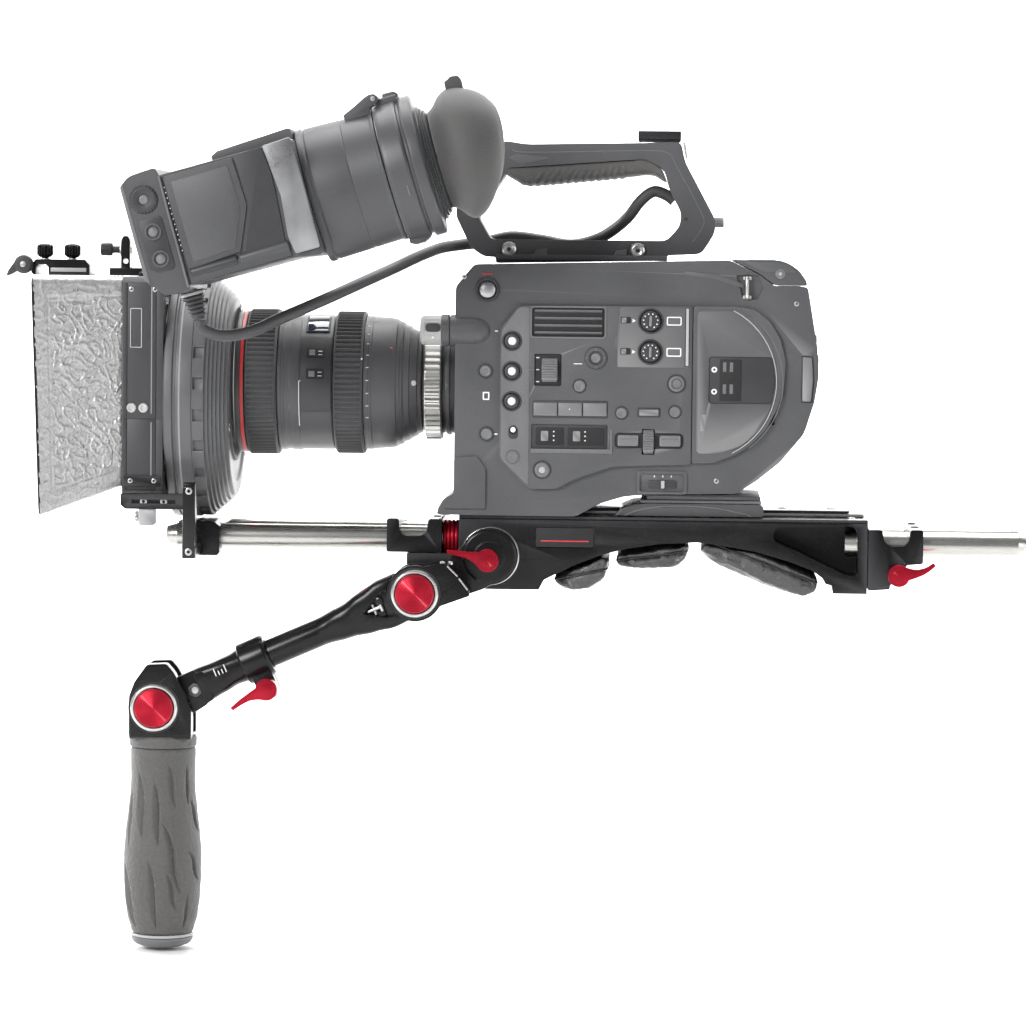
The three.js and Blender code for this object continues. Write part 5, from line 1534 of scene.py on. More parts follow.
# ------------------------------------------------------------------ viewfinder
def finder_arm():
    """The rod along the handle, the clamp block at its end and the cross rod to the viewfinder."""
    kit = Kit("finder_arm_rods")
    x, z = -168.6, 252.6
    kit.add("black", lathe([(-170, 0), (-170, 6), (-49.4, 6), (-47.8, 4.6), (-47.8, 0)], "x",
                           (0, z), 56, 0.4))
    for at in (-152, -120, -88, -56):
        kit.add("steel", ring(6.15, 5.6, at, at + 1.0, "x", (0, z), 0.1, 48))
    kit.add("black", carved(rounded_box((-182, -156), (242, 264), (-12, 12), 3),
                            [block((-183, -155), (-13, 13), (263.2, 263.9), 0),
                             block((-160, -155), (-0.6, 0.6), (240, 266), 0)], 0.9, 3))
    kit.add("black", lathe([(-66, 0), (-66, 5.2), (-65.2, 6), (-11, 6), (-11, 0)], "y", (x, z), 56, 0.3))
    kit.add("black", lathe([(-25, 6), (-25, 9), (-24, 10), (-13, 10), (-12, 9), (-12, 6)], "y",
                           (x, z), 56, 0.4, True))
    for sx in (-177.6, -160.4):
        kit.add("steel", screw_head("z", (sx, 0), 264.6, 263, 2.2, 0.9))
    knob = [(12, 0), (12, 4.5), (15, 4.5), (15.6, 8.2), (16.4, 8.8), (23, 8.8), (24, 8), (24, 0)]
    kit.add("dark", lathe(knob, "y", (-169, 249), 120, 0.4, False, (12, 1.0, 16.2, 23.2)))
    kit.done("camera", "camera_grey", ["finder_arm"])


def finder_kit(name):
    """A kit drawn in the viewfinder's own frame, x along its axis towards the eye."""
    return Kit(name, FINDER, FINDER_TILT)


EYEPIECE_HINGE = (83.0, 44.0)    # pivot of the flip-up eyepiece, in the viewfinder's own frame


def finder_housing():
    """Screen unit with its keys, the light tube behind it and the clamp on the arm side."""
    kit = finder_kit("finder_housing_body")
    tube_bore = disc(30, -38, 82, "x", (0, 0), 0, 72)
    core = [(-46, -31), (-46, 34), (17, 33.5), (34, 34.5), (34, -35), (17, -32)]
    kit.add("finder", carved(prism(core, (-44, 44), "y", 0, 3), [tube_bore], 1.6, 4))
    bezel = [(-68, -22.6), (-67.2, 33.6), (-61.4, 38), (-45, 38.8), (-44.2, 33.6), (-44.2, -31.2),
             (-45.6, -34.2), (-59, -33)]
    window = prism([(-69, -23), (-69, 30), (-62, 30), (-62, -23)], (-38, 38), "y", 0, 1.2)
    kit.add("finder", carved(prism(bezel, (-45.8, 45.8), "y", 0, 3), [window], 1.6, 4))
    kit.add("glass", block((-64.2, -62.6), (-37.4, 37.4), (-21.6, 28.6), 0.4))
    finder_keys(kit)
    side_covers(kit)
    finder_tube(kit)
    hinge_ears(kit)
    jaw = [(-14, 20), (-10, 38.6), (-6, 40.4), (24, 41.6), (28, 40), (32, 20)]
    kit.add("black", carved(prism(jaw, (44.2, 60), "y", 0, 2.5),
                            [disc(6.5, 43, 61, "y", (10, 29), 0, 48)], 0.8, 3))
    kit.add("steel", screw_head("z", (-4, 52), 41.8, 40, 2.2, 0.9),
            screw_head("z", (23, 52), 42.4, 40.6, 2.2, 0.9))
    kit.add("camera", prism([(-15, 33), (-15, 37.4), (-11, 39.3), (31, 40.9), (33, 40.4), (33, 34)],
                            (-20, 20), "y", 0.5, 0.6))
    kit.add("dark", prism([(-12, 38.9), (31, 40.5), (31, 41.1), (-12, 39.6)], (-14, 14), "y", 0.15))
    kit.done("finder", "camera_grey", ["finder_housing"])


def finder_keys(kit):
    """Three keys on the bezel's near side, the top one in a knurled ring, and a row of dots."""
    recess = [(-63.5, -16), (-63.5, 9.6), (-61.5, 12), (-50.5, 12), (-49, 10), (-49, -17.6), (-51, -19.6),
              (-60.6, -19)]
    kit.add("dark", prism(recess, (-46.3, -45.4), "y", 0.25, 0.8))
    kit.add("dark", lathe([(-47.4, 3.2), (-47.6, 6.8), (-46.8, 8.2), (-45.4, 8.4), (-45.4, 3.2)], "y",
                          (-56.2, 22.8), 96, 0.3, True, (24, 0.7, -47.2, -45.6)))
    kit.add("key", lathe([(-47.0, 0), (-47.2, 2.0), (-46.8, 2.9), (-45.4, 3.1), (-45.4, 0)], "y",
                         (-56.2, 22.8), 48, 0.3))
    for z in (3.8, -12.2):
        kit.add("finder", ring(5.0, 3.6, -47.2, -45.6, "y", (-56, z), 0.4, 56))
        kit.add("key", lathe([(-47.9, 0), (-47.7, 1.4), (-47.0, 2.6), (-46.2, 3.1), (-45.4, 3.2),
                              (-45.4, 0)], "y", (-56, z), 48, 0.3))
    spine = [(-44.3, -46.2, 33.6), (-44.8, -46.6, 10), (-45, -46.6, -12), (-45.4, -46.2, -32)]
    kit.add("strip", swept(spine, 0.7, 10, 5))
    for k in range(13):
        printed(kit, (-43.4, -42.8), (-45.2, -44.9), (26 - k * 3.1, 26.7 - k * 3.1))
    kit.add("strip", prism([(-68.3, -21.6), (-67.6, 33), (-65.6, 35), (-65.9, -24.2)],
                           (-46.2, -44.6), "y", 0.3))


def side_covers(kit):
    """The layered covers of both sides: two plates, a slanted silver band and a rail below."""
    for side in (-1, 1):
        outer = [(-42.4, 32.2), (-1.4, 32.2), (-0.6, 4.2), (-11.2, -20.4), (-42.4, -22.4)]
        kit.add("finder", prism(outer, sided(side, 43.4, 45.4), "y", 0.7, 1.5, 3))
        kit.add("finder", prism([(-38.6, 28.4), (-5, 28.4), (-4.4, 4), (-13.4, -17.4), (-38.6, -19)],
                               sided(side, 45.2, 45.8), "y", 0.3, 1.2))
        dark = [(-0.6, 33.2), (16.2, 33.6), (17.8, 18), (17.2, 6.2), (14.6, -24.2), (-9.4, -23), (1, 3.8)]
        kit.add("dark", prism(dark, sided(side, 43.2, 45.1), "y", 0.6, 1.2, 3))
        band = [(16.9, 33.8), (33.6, 34.4), (33.9, 2), (33.2, -30.2), (18.8, -30.2), (17.2, -20), (19.6, 4)]
        kit.add("satin", prism(band, sided(side, 43.4, 46.2), "y", 1.1, 1.5, 3))
        kit.add("finder", prism([(-42.8, -22.8), (15.4, -25), (16.8, -30.4), (-43, -30.2)],
                                sided(side, 42, 45.6), "y", 1.2, 1.2, 3))
    for look, low, high in (("dark", -42, -14), ("finder", -12.6, 16.4)):
        barrel = [(low, 0), (low, 3.0), (low + 0.6, 3.5), (high - 0.6, 3.5), (high, 3.0), (high, 0)]
        kit.add(look, lathe(barrel, "x", (-43.2, -24.6), 40, 0.3))


def finder_tube(kit):
    """The turned light tube behind the screen, stepped towards the eyepiece."""
    outer = [(33.6, 30.2), (33.6, 38.6), (34.6, 39.3), (37.4, 39.3), (38.2, 38.4), (38.8, 38.4),
             (39.4, 38.9), (60.2, 38.3), (60.7, 37.8), (61.3, 38.2), (77.6, 37.9), (78.6, 38.6),
             (79.9, 38.6), (80, 30.2)]
    kit.add("finder", lathe(outer, "x", (0, 0), 120, 0.3, True))
    kit.add("black_deep", ring(30.6, 23.5, 78.4, 79.8, "x", (0, 0), 0.2, 96))
    kit.add("glass", lathe([(76.6, 0), (78.2, 12), (78.9, 24), (77.6, 24), (75.5, 0)], "x", (0, 0), 72, 0))


def hinge_ears(kit):
    """Two ears on the tube with the pin that the eyepiece flips up on."""
    ear = [(64, 36), (64, 39.6), (70, 42), (78.6, 46.2), (81.4, 47), (84.6, 46.6), (86, 44), (84.8, 41.4),
           (79.6, 40.2), (79.6, 36)]
    for side in (-1, 1):
        kit.add("finder", prism(ear, sorted((side * 9.6, side * 12.4)), "y", 0.5, 0.8))
    kit.add("steel", lathe([(-13, 0), (-13, 1.4), (13, 1.4), (13, 0)], "y", EYEPIECE_HINGE, 24, 0.2))


def loupe():
    """Hinged eyepiece: latch ring, knurled dioptre ring and ribbed neck."""
    kit = finder_kit("loupe_body")
    outer = [(80.4, 22.5), (80.4, 38.9), (81.2, 39.6), (83.2, 40.1), (92.6, 40.9), (93.8, 40.4),
             (94.2, 39.2), (95.6, 39.2), (96.0, 40.6), (97, 41.4), (102.2, 41.2), (103.2, 40),
             (103.4, 35.5), (104.2, 33.8), (105, 33.2), (105.6, 34.0), (106.4, 31.8),
             (107.2, 32.6), (108, 30.2), (108.8, 31),
             (109.6, 28.8), (110, 28), (110, 22.5)]
    kit.add("lens", lathe(outer, "x", (0, 0), 120, 0.3, True))
    kit.add("glass", lathe([(98, 0), (100.5, 10), (101.6, 22.6), (99.6, 22.6), (96, 0)], "x", (0, 0), 72, 0))
    kit.add("finder", block((83, 96), (-9, 9), (37, 43.4), 1.2, 3))
    kit.add("finder", prism([(87.6, 42), (88.6, 45.6), (95.6, 45.2), (97.4, 43.2), (96.4, 41)], (-7.5, 7.5),
                            "y", 0.6, 0.8))
    kit.add("finder", disc(2.7, -9, 9, "y", EYEPIECE_HINGE, 0.3, 40))
    catch = [(81.2, -37.6), (80.6, -41.4), (84, -43.2), (90, -42.8), (93.4, -40.6), (93.4, -37.8)]
    kit.add("finder", prism(catch, (-8, 8), "y", 0.7, 1))
    kit.add("silver", prism([(86, -42.6), (88.8, -43.6), (91, -42.2), (91, -41.4)], (-4, 4), "y", 0.3))
    kit.add("strip", block((89.6, 90.4), (-39.6, -38.8), (-16, -10), 0.2))
    kit.done("loupe", "lens_black", ["loupe"])


def eyecup():
    """Flared rubber cup whose rim reaches further back on the temple side, with a pull tab."""
    outer = [(110.4, 28.6), (112, 29.2), (115, 31.8), (118.5, 35.6), (123, 38.2), (128, 38.9), (133, 38.2),
             (138, 36.6), (142.4, 34.2), (145.6, 31.4), (147.4, 28.6)]
    lip = [(148.2, 27.0), (147.8, 25.6)]
    inner = [(146, 27.0), (142.4, 31.2), (138, 34), (133, 35.7), (128, 36.4), (123.5, 35.6), (119.5, 33.2),
             (115, 28.6), (112, 25.6), (110.4, 24.2)]
    sides = 120
    bm = bmesh.new()
    rings = []
    for p in smooth_path([(u, 0, r) for u, r in outer + lip + inner], 4):
        made = []
        for k in range(sides):
            a = 2 * math.pi * k / sides
            u, r = p.x, p.z
            lean = max(0.0, (u - 112) / 36)
            temple = math.cos(a)
            r *= 1 - 0.035 * lean * (1 - abs(temple)) * (1 if math.sin(a) < 0 else 0)
            u += lean ** 1.5 * (temple * 11.5 - 10.0 + 5.5 * math.sin(a))
            r *= 1 + 0.03 * lean * math.cos(2 * a)
            r += 0.25 * noise.noise(Vector((u * 0.09, math.cos(a) * 1.5, math.sin(a) * 1.5)))
            made.append(bm.verts.new((u, -r * math.cos(a), r * math.sin(a))))
        rings.append(made)
    kit = finder_kit("eyecup_rubber")
    kit.add("cup", skinned(bm, rings, True))
    tab = [(124.4, 36), (124.6, 42.6), (127.4, 43.4), (128.6, 44.6), (133.4, 44.0), (134.6, 41.2),
           (134.2, 34.6)]
    kit.add("cup", prism(tab, (-6.5, 6.5), "y", 1.0, 1.2, 3))
    kit.done("eyecup", "rubber_grey", ["eyecup"], 60)


def cable_boot():
    """The ribbed sleeve that the lead leaves the viewfinder through."""
    kit = finder_kit("cable_boot_ribbed")
    centre = (-48, -11)
    profile = [(-33.8, 0), (-33.8, 6.8), (-35.4, 7.0), (-36.4, 6.4)]
    for k in range(5):
        z, r = -37.0 - k * 2.5, 6.4 - k * 0.42
        profile += [(z, r - 1.1), (z - 0.3, r), (z - 1.5, r - 0.1), (z - 1.8, r - 1.15)]
    profile += [(-50.6, 3.9), (-50.6, 0)]
    kit.add("cable", lathe(profile, "z", centre, 56, 0.25))
    kit.add("silver", ring(7.1, 5.5, -36.2, -34.6, "z", centre, 0.3, 56))
    return kit.done("finder", "cable_jacket", ["cable_boot"])


finder_arm()
finder_housing()
loupe()
eyecup()
boot = cable_boot()


# ------------------------------------------------------------------ matte box
LIGHT_RING_CENTRE = (0, 112)


def light_ring():
    """Turned donut: grooved rim, a band of notches and stepped ridges round the lens opening."""
    kit = Kit("light_ring_body")
    profile = [(-229.6, 0), (-229.6, 71.4), (-228.6, 72.8), (-224.4, 73), (-223.9, 71.8), (-222.6, 71.8),
               (-222.1, 73), (-213, 73), (-212.6, 72.2), (-205.6, 72.2), (-205.1, 70.2), (-203.3, 70.2),
               (-202.9, 68.4), (-201.1, 68.4), (-200.7, 66.6), (-198.9, 66.6), (-198.5, 64.8),
               (-196.7, 64.8), (-196.3, 62.8), (-194.5, 62.8), (-194.1, 60.4), (-192.6, 60), (-192, 59),
               (-192, 52), (-193.4, 51), (-193.4, 0)]
    body = lathe(profile, "x", LIGHT_RING_CENTRE, 192, 0.25)
    cutters = [disc(44.8, -231, -190, "x", (0, LENS_HEIGHT), 0, 96)]
    for k in range(24):
        a = 2 * math.pi * (k + 0.5) / 24
        notch = block((-212, -206), (-3.6, 3.6), (70.2, 75), 0)
        notch.transform(Matrix.Translation((0, *LIGHT_RING_CENTRE)) @ Matrix.Rotation(a, 4, "X"))
        cutters.append(notch)
    kit.add("ring", carved(body, cutters, 0.25, 2))
    kit.add("key", ring(73.05, 72.6, -220.4, -219.4, "x", LIGHT_RING_CENTRE, 0, 144))
    for k in range(3):
        a = 2 * math.pi * (k + 0.1) / 3
        centre = (55.5 * math.sin(a), 112 + 55.5 * math.cos(a))
        kit.add("steel", disc(2.1, -192.2, -191.5, "x", centre, 0.3, 32))
        kit.add("dark", disc(1.0, -191.6, -191.4, "x", centre, 0, 6))
    kit.add("lens_rubber", lathe([(-206, 46.2), (-206, 44.9), (-193.6, 44.9), (-192.2, 45.6), (-192.0, 47.6),
                                  (-193.3, 48.4), (-193.6, 46.2)], "x", (0, LENS_HEIGHT), 96, 0.2, True))
    kit.done("matte_box", "lens_black", ["light_ring"])


def filter_stage():
    """Two-slot filter frame with tray pulls, screws, a blank label plate and the flag riser."""
    kit = Kit("filter_stage_frame")
    outer = [(-66, 57.7), (-62, 53.7), (62, 53.7), (66, 57.7), (66, 180), (62, 184), (-62, 184), (-66, 180)]
    window = [(-56, 66), (56, 66), (56, 172), (-56, 172)]
    slots = [block((x, x + 3.4), (-61.5, 61.5), (60.5, 177.5), 0) for x in (-250.2, -239.6)]
    top_slots = [block((x + 0.2, x + 3.2), (-52, 52), (170, 186), 0) for x in (-250.2, -239.6)]
    grooves = [block((-251.6, -251.1), (y - 0.6, y + 0.6), (57, 181), 0) for y in (-66, 66)]
    grooves += [block((-234.4, -233.9), (y - 0.6, y + 0.6), (57, 181), 0) for y in (-66, 66)]
    grooves += [block((-253, -231), (y - 0.5, y + 0.5), (99.6, 100.2), 0) for y in (-66, 66)]
    kit.add("dark", carved(prism(outer, (-254.2, -230), "x", 0, 0.8),
                           [prism(window, (-255, -229), "x", 0, 3), *slots, *top_slots, *grooves], 0.5, 2))
    tray = [(-60.8, 61.2), (60.8, 61.2), (60.8, 176.8), (-60.8, 176.8)]
    opening = [(-51, 71), (51, 71), (51, 167), (-51, 167)]
    for x in (-249.8, -239.2):
        kit.add("black", carved(prism(tray, (x, x + 2.6), "x", 0, 2),
                                [prism(opening, (x - 1, x + 4), "x", 0, 3)], 0.3))
        kit.add("black", prism([(x, 176), (x, 185.6), (x + 0.6, 186.6), (x + 2, 186.6), (x + 2.6, 185.6),
                                (x + 2.6, 176)], (-26, 26), "y", 0.3))
    for side in (-1, 1):
        rim = rounded_box((-249.6, -242.6), (142, 165.4), sided(side, 65.6, 66.5), 0.6)
        plate = rounded_box((-249.1, -243.1), (142.5, 164.9), sided(side, 65.0, 67.0), 0.5)
        kit.add("silver", carved(rim, [plate], 0.05, 1))
        rivet = [(65.6, 0), (65.6, 2.9), (66.9, 2.8), (67.3, 2.2), (66.9, 1.3), (66.5, 1.1), (66.5, 0)]
        for x in (-248.6, -241.6):
            kit.add("silver", lathe([(side * y, r) for y, r in rivet], "y", (x, 106.4), 48, 0.15))
        kit.add("key", block((-237.2, -236.4), sided(side, 65.8, 66.35), (60, 98), 0.1),
                block((-237.2, -236.4), sided(side, 65.8, 66.35), (103, 178), 0.1))
        kit.add("black", rounded_box((-253, -231), (60, 66.4), sided(side, 65.6, 67.2), 0.8, 0.5))
        for x in (-249, -235):
            kit.add("steel", screw_head("y", (x, 63.2), side * 67.5, side * 66.4, 1.5, 0.5))
            kit.add("steel", screw_head("y", (x, 176.5), side * 66.3, side * 65.2, 1.5, 0.5))
    kit.add("black", block((-252, -240), (-7, 7), (183, 188), 0.6),
            block((-270, -248), (-7, 7), (184.2, 189), 0.8, 3))
    riser = [(-263, 188), (-257.5, 188), (-257.5, 205.6), (-258.8, 208.2), (-261.6, 208.2), (-263, 205.6)]
    kit.add("black", carved(prism(riser, (-7, 7), "y", 0, 0.6),
                            [disc(1.6, -8, 8, "y", (-260.2, 193), 0, 24)], 0.5, 3))
    knob = [(-276, 0), (-276, 3.3), (-275.4, 3.9), (-269.4, 3.9), (-268.8, 3.2), (-268.6, 2.2),
            (-262.6, 2.2), (-262.6, 0)]
    kit.add("dark", lathe(knob, "x", (0, 200), 112, 0.25, False, (14, 0.6, -275.6, -269.2)))
    kit.add("steel", ring(3.4, 1.8, -264.2, -263, "x", (0, 200), 0.2, 48))
    kit.add("steel", screw_head("x", (0, 200), -256.9, -258, 2.4, 0.7))
    kit.done("matte_box", "frame_black", ["filter_stage"])


def matte_bracket():
    """The clamp on both rods, with the upright leg and bar that carry the filter stage."""
    kit = Kit("matte_box_bracket_body")
    side = [(-217, 20), (-215.4, 18), (-199.6, 18), (-198, 20), (-198, 35.6), (-201.4, 38.3), (-213.6, 38.3),
            (-217, 35.6)]
    slit = [block((-218, -197), (y - 0.5, y + 0.5), (16, 30), 0) for y in (-39, 39)]
    kit.add("black", carved(prism(side, (-45, 45), "y", 0, 0), rod_bores((-219, -196)) + slit, 0.6, 3))
    kit.add("black", prism([(-217, 18), (-209, 18), (-209, 26), (-217, 26)], (-76.6, -44), "y", 0.6))
    leg = [(-77, 18.2), (-67, 18.2), (-67, 60.4), (-69.6, 63), (-74.4, 63), (-77, 60.4)]
    kit.add("black", prism(leg, (-216.8, -209.2), "x", 0.7))
    bar = [(-253.6, 49.4), (-250.6, 47), (-209.4, 47), (-209.4, 56), (-253.6, 56)]
    kit.add("black", carved(prism(bar, (-76.5, -67.4), "y", 0, 0.4),
                            [block((-247, -221), (-78, -75.2), (50.4, 52.6), 0)], 0.7, 3))
    kit.add("satin", prism([(-243, 38.4), (-241.6, 37), (-234.6, 37), (-233.2, 38.4), (-233.2, 47.6),
                            (-243, 47.6)], (-75, -69), "y", 0.5, 0.5))
    kit.add("steel", lathe([(-245.4, 0), (-245.4, 3.2), (-243.4, 3.2), (-243.4, 0)], "x",
                           (-72, 42.4), 64, 0.3, False, (12, 0.5, -245.6, -243)))
    for x, z, y in ((-213, 58, -77), (-213, 22, -77), (-240, 51.5, -75.4), (-228, 51.5, -75.4)):
        kit.add("steel", screw_head("y", (x, z), y - 0.5, y + 0.6, 2.1, 0.8))
    knob = [(45, 0), (45, 2.6), (47, 2.8), (47.2, 5.2), (52.5, 5.4), (52.5, 0)]
    kit.add("dark", lathe(knob, "y", (-207.5, 22.6), 120, 0.4, False, (12, 0.8, 47.1, 53)))
    kit.done("matte_box", "frame_black", ["matte_box_bracket"])


def flag_clamp():
    """The clamp that holds a top flag, with its two knobs and its lever."""
    kit = Kit("flag_clamp_body")
    jaw = [(-316.4, 190.6), (-316.4, 185.6), (-314.8, 184.1), (-281, 184.1), (-281, 190.4), (-284, 193.7),
           (-313.6, 193.7)]
    mouth = [(-313.6, 182), (-306, 182), (-306, 188.8), (-307.6, 190.5), (-312, 190.5), (-313.6, 188.8)]
    kit.add("black", carved(prism(jaw, (-14, 14), "y", 0, 0.8), [prism(mouth, (-15, 15), "y", 0)], 0.6, 3))
    kit.add("silver", block((-304.6, -283), (-14.5, -13.6), (186.2, 188.6), 0.3),
            block((-304.6, -283), (13.6, 14.5), (186.2, 188.6), 0.3))
    knob = [(193, 0), (193, 2.2), (194.6, 2.2), (195.0, 3.4), (196.4, 5), (201.6, 5), (202.4, 4.2),
            (203, 3), (203, 0)]
    for x in (-310, -293.3):
        kit.add("black", lathe(knob, "z", (x, 0), 128, 0.3, False, (16, 0.7, 195.8, 202)))
        kit.add("steel", disc(1.6, 202.6, 203.4, "z", (x, 0), 0.2, 32))
        kit.add("steel", ring(3.0, 1.6, 193.4, 194.2, "z", (x, 0), 0.2, 40))
    kit.add("dark", lathe([(-20, 0), (-20, 4.6), (-19.2, 5.6), (-14.6, 5.8), (-13.5, 5.2), (-13.5, 0)], "y",
                          (-320.5, 190.5), 64, 0.4))
    kit.add("steel", disc(1.7, -20.6, -19.6, "y", (-320.5, 190.5), 0.3, 36))
    kit.add("black", lathe([(-14.4, 0), (-14.4, 2.4), (14, 2.4), (14, 0)], "y", (-317.5, 189.4), 32, 0.2))
    tail = [(-317.6, 193.4), (-321, 189), (-324, 186.3), (-328, 184.2), (-330.9, 183.3), (-329.6, 186.8),
            (-326.4, 191.2), (-322.6, 194.8)]
    kit.add("dark", prism(tail, (-19.4, -14.4), "y", 1.1, 1.2, 4))
    kit.done("matte_box", "frame_black", ["flag_clamp"])


HOOD_FRONT = (-305.0, 85.0, 42.4)       # station, half width and lower edge of the open end
HOOD_REAR = (-254.7, 65.0, 59.2)        # and of the end at the filter stage
HOOD_TOP = 183.7
HOOD_CORNER = 3.6
HOOD_BORDER = 8.0            # width of the hem
HOOD_HEM_SPANS = (130.0, 150.0)         # lengths that the hem is measured along, upright and across
HOOD_LEAN = 5.0              # how far the front edge slopes back towards its foot
HOOD_LEAN_HEIGHT = 141.0     # over this height
HOOD_STATIONS = 104
HOOD_COUNTS = (190, 150, 190, 150)      # points along the four walls
HOOD_SKINS = ((0.7, True), (2.3, False))    # inset of each skin, and whether it is crumpled


def hood_outline(share, inset):
    """The hood's cross-section at a share of its length, shrunk by an inset, as (y, z, side)."""
    _, half_front, low_front = HOOD_FRONT
    _, half_rear, low_rear = HOOD_REAR
    half = half_front + (half_rear - half_front) * share - inset
    low = low_front + (low_rear - low_front) * share + inset
    top = HOOD_TOP - inset
    corners = [(-half, low), (-half, top), (half, top), (half, low)]
    line = []
    for i, count in enumerate(HOOD_COUNTS):
        a, b = Vector(corners[i]), Vector(corners[(i + 1) % 4])
        way = (b - a).normalized()
        start, end = a + way * HOOD_CORNER, b - way * HOOD_CORNER
        for k in range(count):
            line.append((*(start.lerp(end, k / (count - 1))), i, k / (count - 1)))
        after = Vector(corners[(i + 2) % 4])
        turn = b + (after - b).normalized() * HOOD_CORNER
        for t in (0.25, 0.5, 0.75):
            bend = end * (1 - t) ** 2 + b * 2 * t * (1 - t) + turn * t * t
            line.append((*bend, i, 1.0))
    return line


def ridge(spot, sharp):
    """One along a noise field's zero lines, falling off on both sides."""
    return max(0.0, 1.0 - abs(noise.noise(spot)) * sharp)


def hood_crease(x, y, z, edge):
    """Height of the crumpled skin: branching folds in the middle and small pleats along the hem."""
    around = y if abs(y) < 60 else z
    spot = Vector((x, y, z)) * 0.05
    warp = noise.noise_vector(spot * 1.3) * 1.1
    first = Vector((x * 0.2 + around * 0.12, around * 0.17, y * 0.02)) + warp
    second = Vector((x * 0.24 - around * 0.16, around * 0.15, 7 + y * 0.02)) - warp
    third = Vector((x * 0.38, around * 0.34, 3.0)) + warp * 1.6
    patch = 0.55 + 0.9 * noise.noise(spot * 1.1)
    fold = 0.6 * ridge(first, 7.5) + 0.5 * ridge(second, 7.5) * patch + 0.22 * ridge(third, 6.0)
    middle = fold + 0.45 * noise.noise(spot * 0.9) - 0.45
    pleat = 0.5 * ridge(Vector((x * 0.1, around * 0.16, 5)), 6.0) + 0.12 * noise.noise(spot * 6)
    blend = clamp((edge - HOOD_BORDER) / 2.2)
    groove = -0.5 * math.exp(-((edge - HOOD_BORDER) / 0.8) ** 2)
    return 1.6 * middle * blend + 0.8 * pleat * (1 - blend) + groove


def hood_lean(z):
    """How far back the hood's front edge lies at a height."""
    return HOOD_LEAN * (HOOD_TOP - z) / HOOD_LEAN_HEIGHT


def hood():
    """Folding hood: one stiff tapered sleeve of crumpled skin with a creased hem."""
    depth = HOOD_REAR[0] - HOOD_FRONT[0]
    bm = bmesh.new()
    ends = []
    for inset, crumpled in HOOD_SKINS:
        rings = []
        for k in range(HOOD_STATIONS + 1):
            share = k / HOOD_STATIONS
            x = HOOD_FRONT[0] + depth * share
            line = hood_outline(share, inset)
            made = []
            for i, (y, z, side, along_side) in enumerate(line):
                across = HOOD_HEM_SPANS[side % 2]
                edge = min(share * depth, along_side * across, (1 - along_side) * across)
                height = hood_crease(x, y, z, edge) if crumpled else 0.0
                before, after = line[i - 1], line[(i + 1) % len(line)]
                way = Vector((after[0] - before[0], after[1] - before[1])).normalized()
                lean = hood_lean(z) * (1 - share)
                made.append(bm.verts.new((x + lean, y - way.y * height, z + way.x * height)))
            rings.append(made)
        for a, b in zip(rings, rings[1:]):
            join_rings(bm, a, b)
        ends.append((rings[0], rings[-1]))
    for outer, inner in zip(*ends):
        join_rings(bm, outer, inner)
    bmesh.ops.recalc_face_normals(bm, faces=bm.faces)
    kit = Kit("hood_crumpled_skin")
    kit.add("hood", bm)
    rim = [(HOOD_FRONT[0] - 0.2 + hood_lean(z), y, z) for y, z, _, _ in hood_outline(0.0, 1.5)]
    kit.add("black", swept(rim[::2], 1.0, 10, 1, True))
    kit.done("matte_box", "hood_skin", ["matte_box_hood"], 70)


light_ring()
filter_stage()
matte_bracket()
flag_clamp()
hood()


# ------------------------------------------------------------------ shoulder pads
PADS = {
    "front_pad": [(-0.5, 6.4), (4.6, 2.6), (12, 1.4), (23.0, 2.4), (31.2, 7.4), (34.0, 14.4), (33.4, 20.6),
                  (29.2, 19.4), (14, 13.4)],
    "middle_pad": [(37.6, 21.2), (39.3, 15.4), (56, 15.2), (74.1, 16.2), (80.2, 18.9), (83.4, 27.7),
                   (65, 26.8), (46, 23.9)],
    "rear_pad": [(88.6, 27.8), (88.7, 24.1), (101.6, 17.4), (127.3, 6.4), (150.6, -0.8), (157.2, 1.6),
                 (159.8, 8.4), (154.8, 12.2), (141.6, 17.0), (121.2, 22.9), (101, 26.3)],
}
PAD_HALF_WIDTH = 40.6
PAD_VOXEL = 0.0021           # metres
PAD_REACH = 2.6              # how far a stuffed cover may move from where it starts
PAD_FRAMES = 20              # length of the Cloth simulation
ARCH_CLEARANCE = 0.35        # the covers stay this far below the frame's arch
SEAM_RAYS = 160
PIPING_RADIUS = 0.62


def line_height(line, x):
    """Height of a polyline at x, its points going towards +X."""
    for (x0, z0), (x1, z1) in zip(line, line[1:]):
        if x0 <= x <= x1 and x1 > x0:
            return z0 + (z1 - z0) * (x - x0) / (x1 - x0)
    return line[-1][1]


def remeshed(piece, size):
    """Gives a piece an even mesh for the simulation."""
    voxel = piece.modifiers.new("voxel", "REMESH")
    voxel.mode = "VOXEL"
    voxel.voxel_size = size
    voxel.use_smooth_shade = True
    return baked(piece)


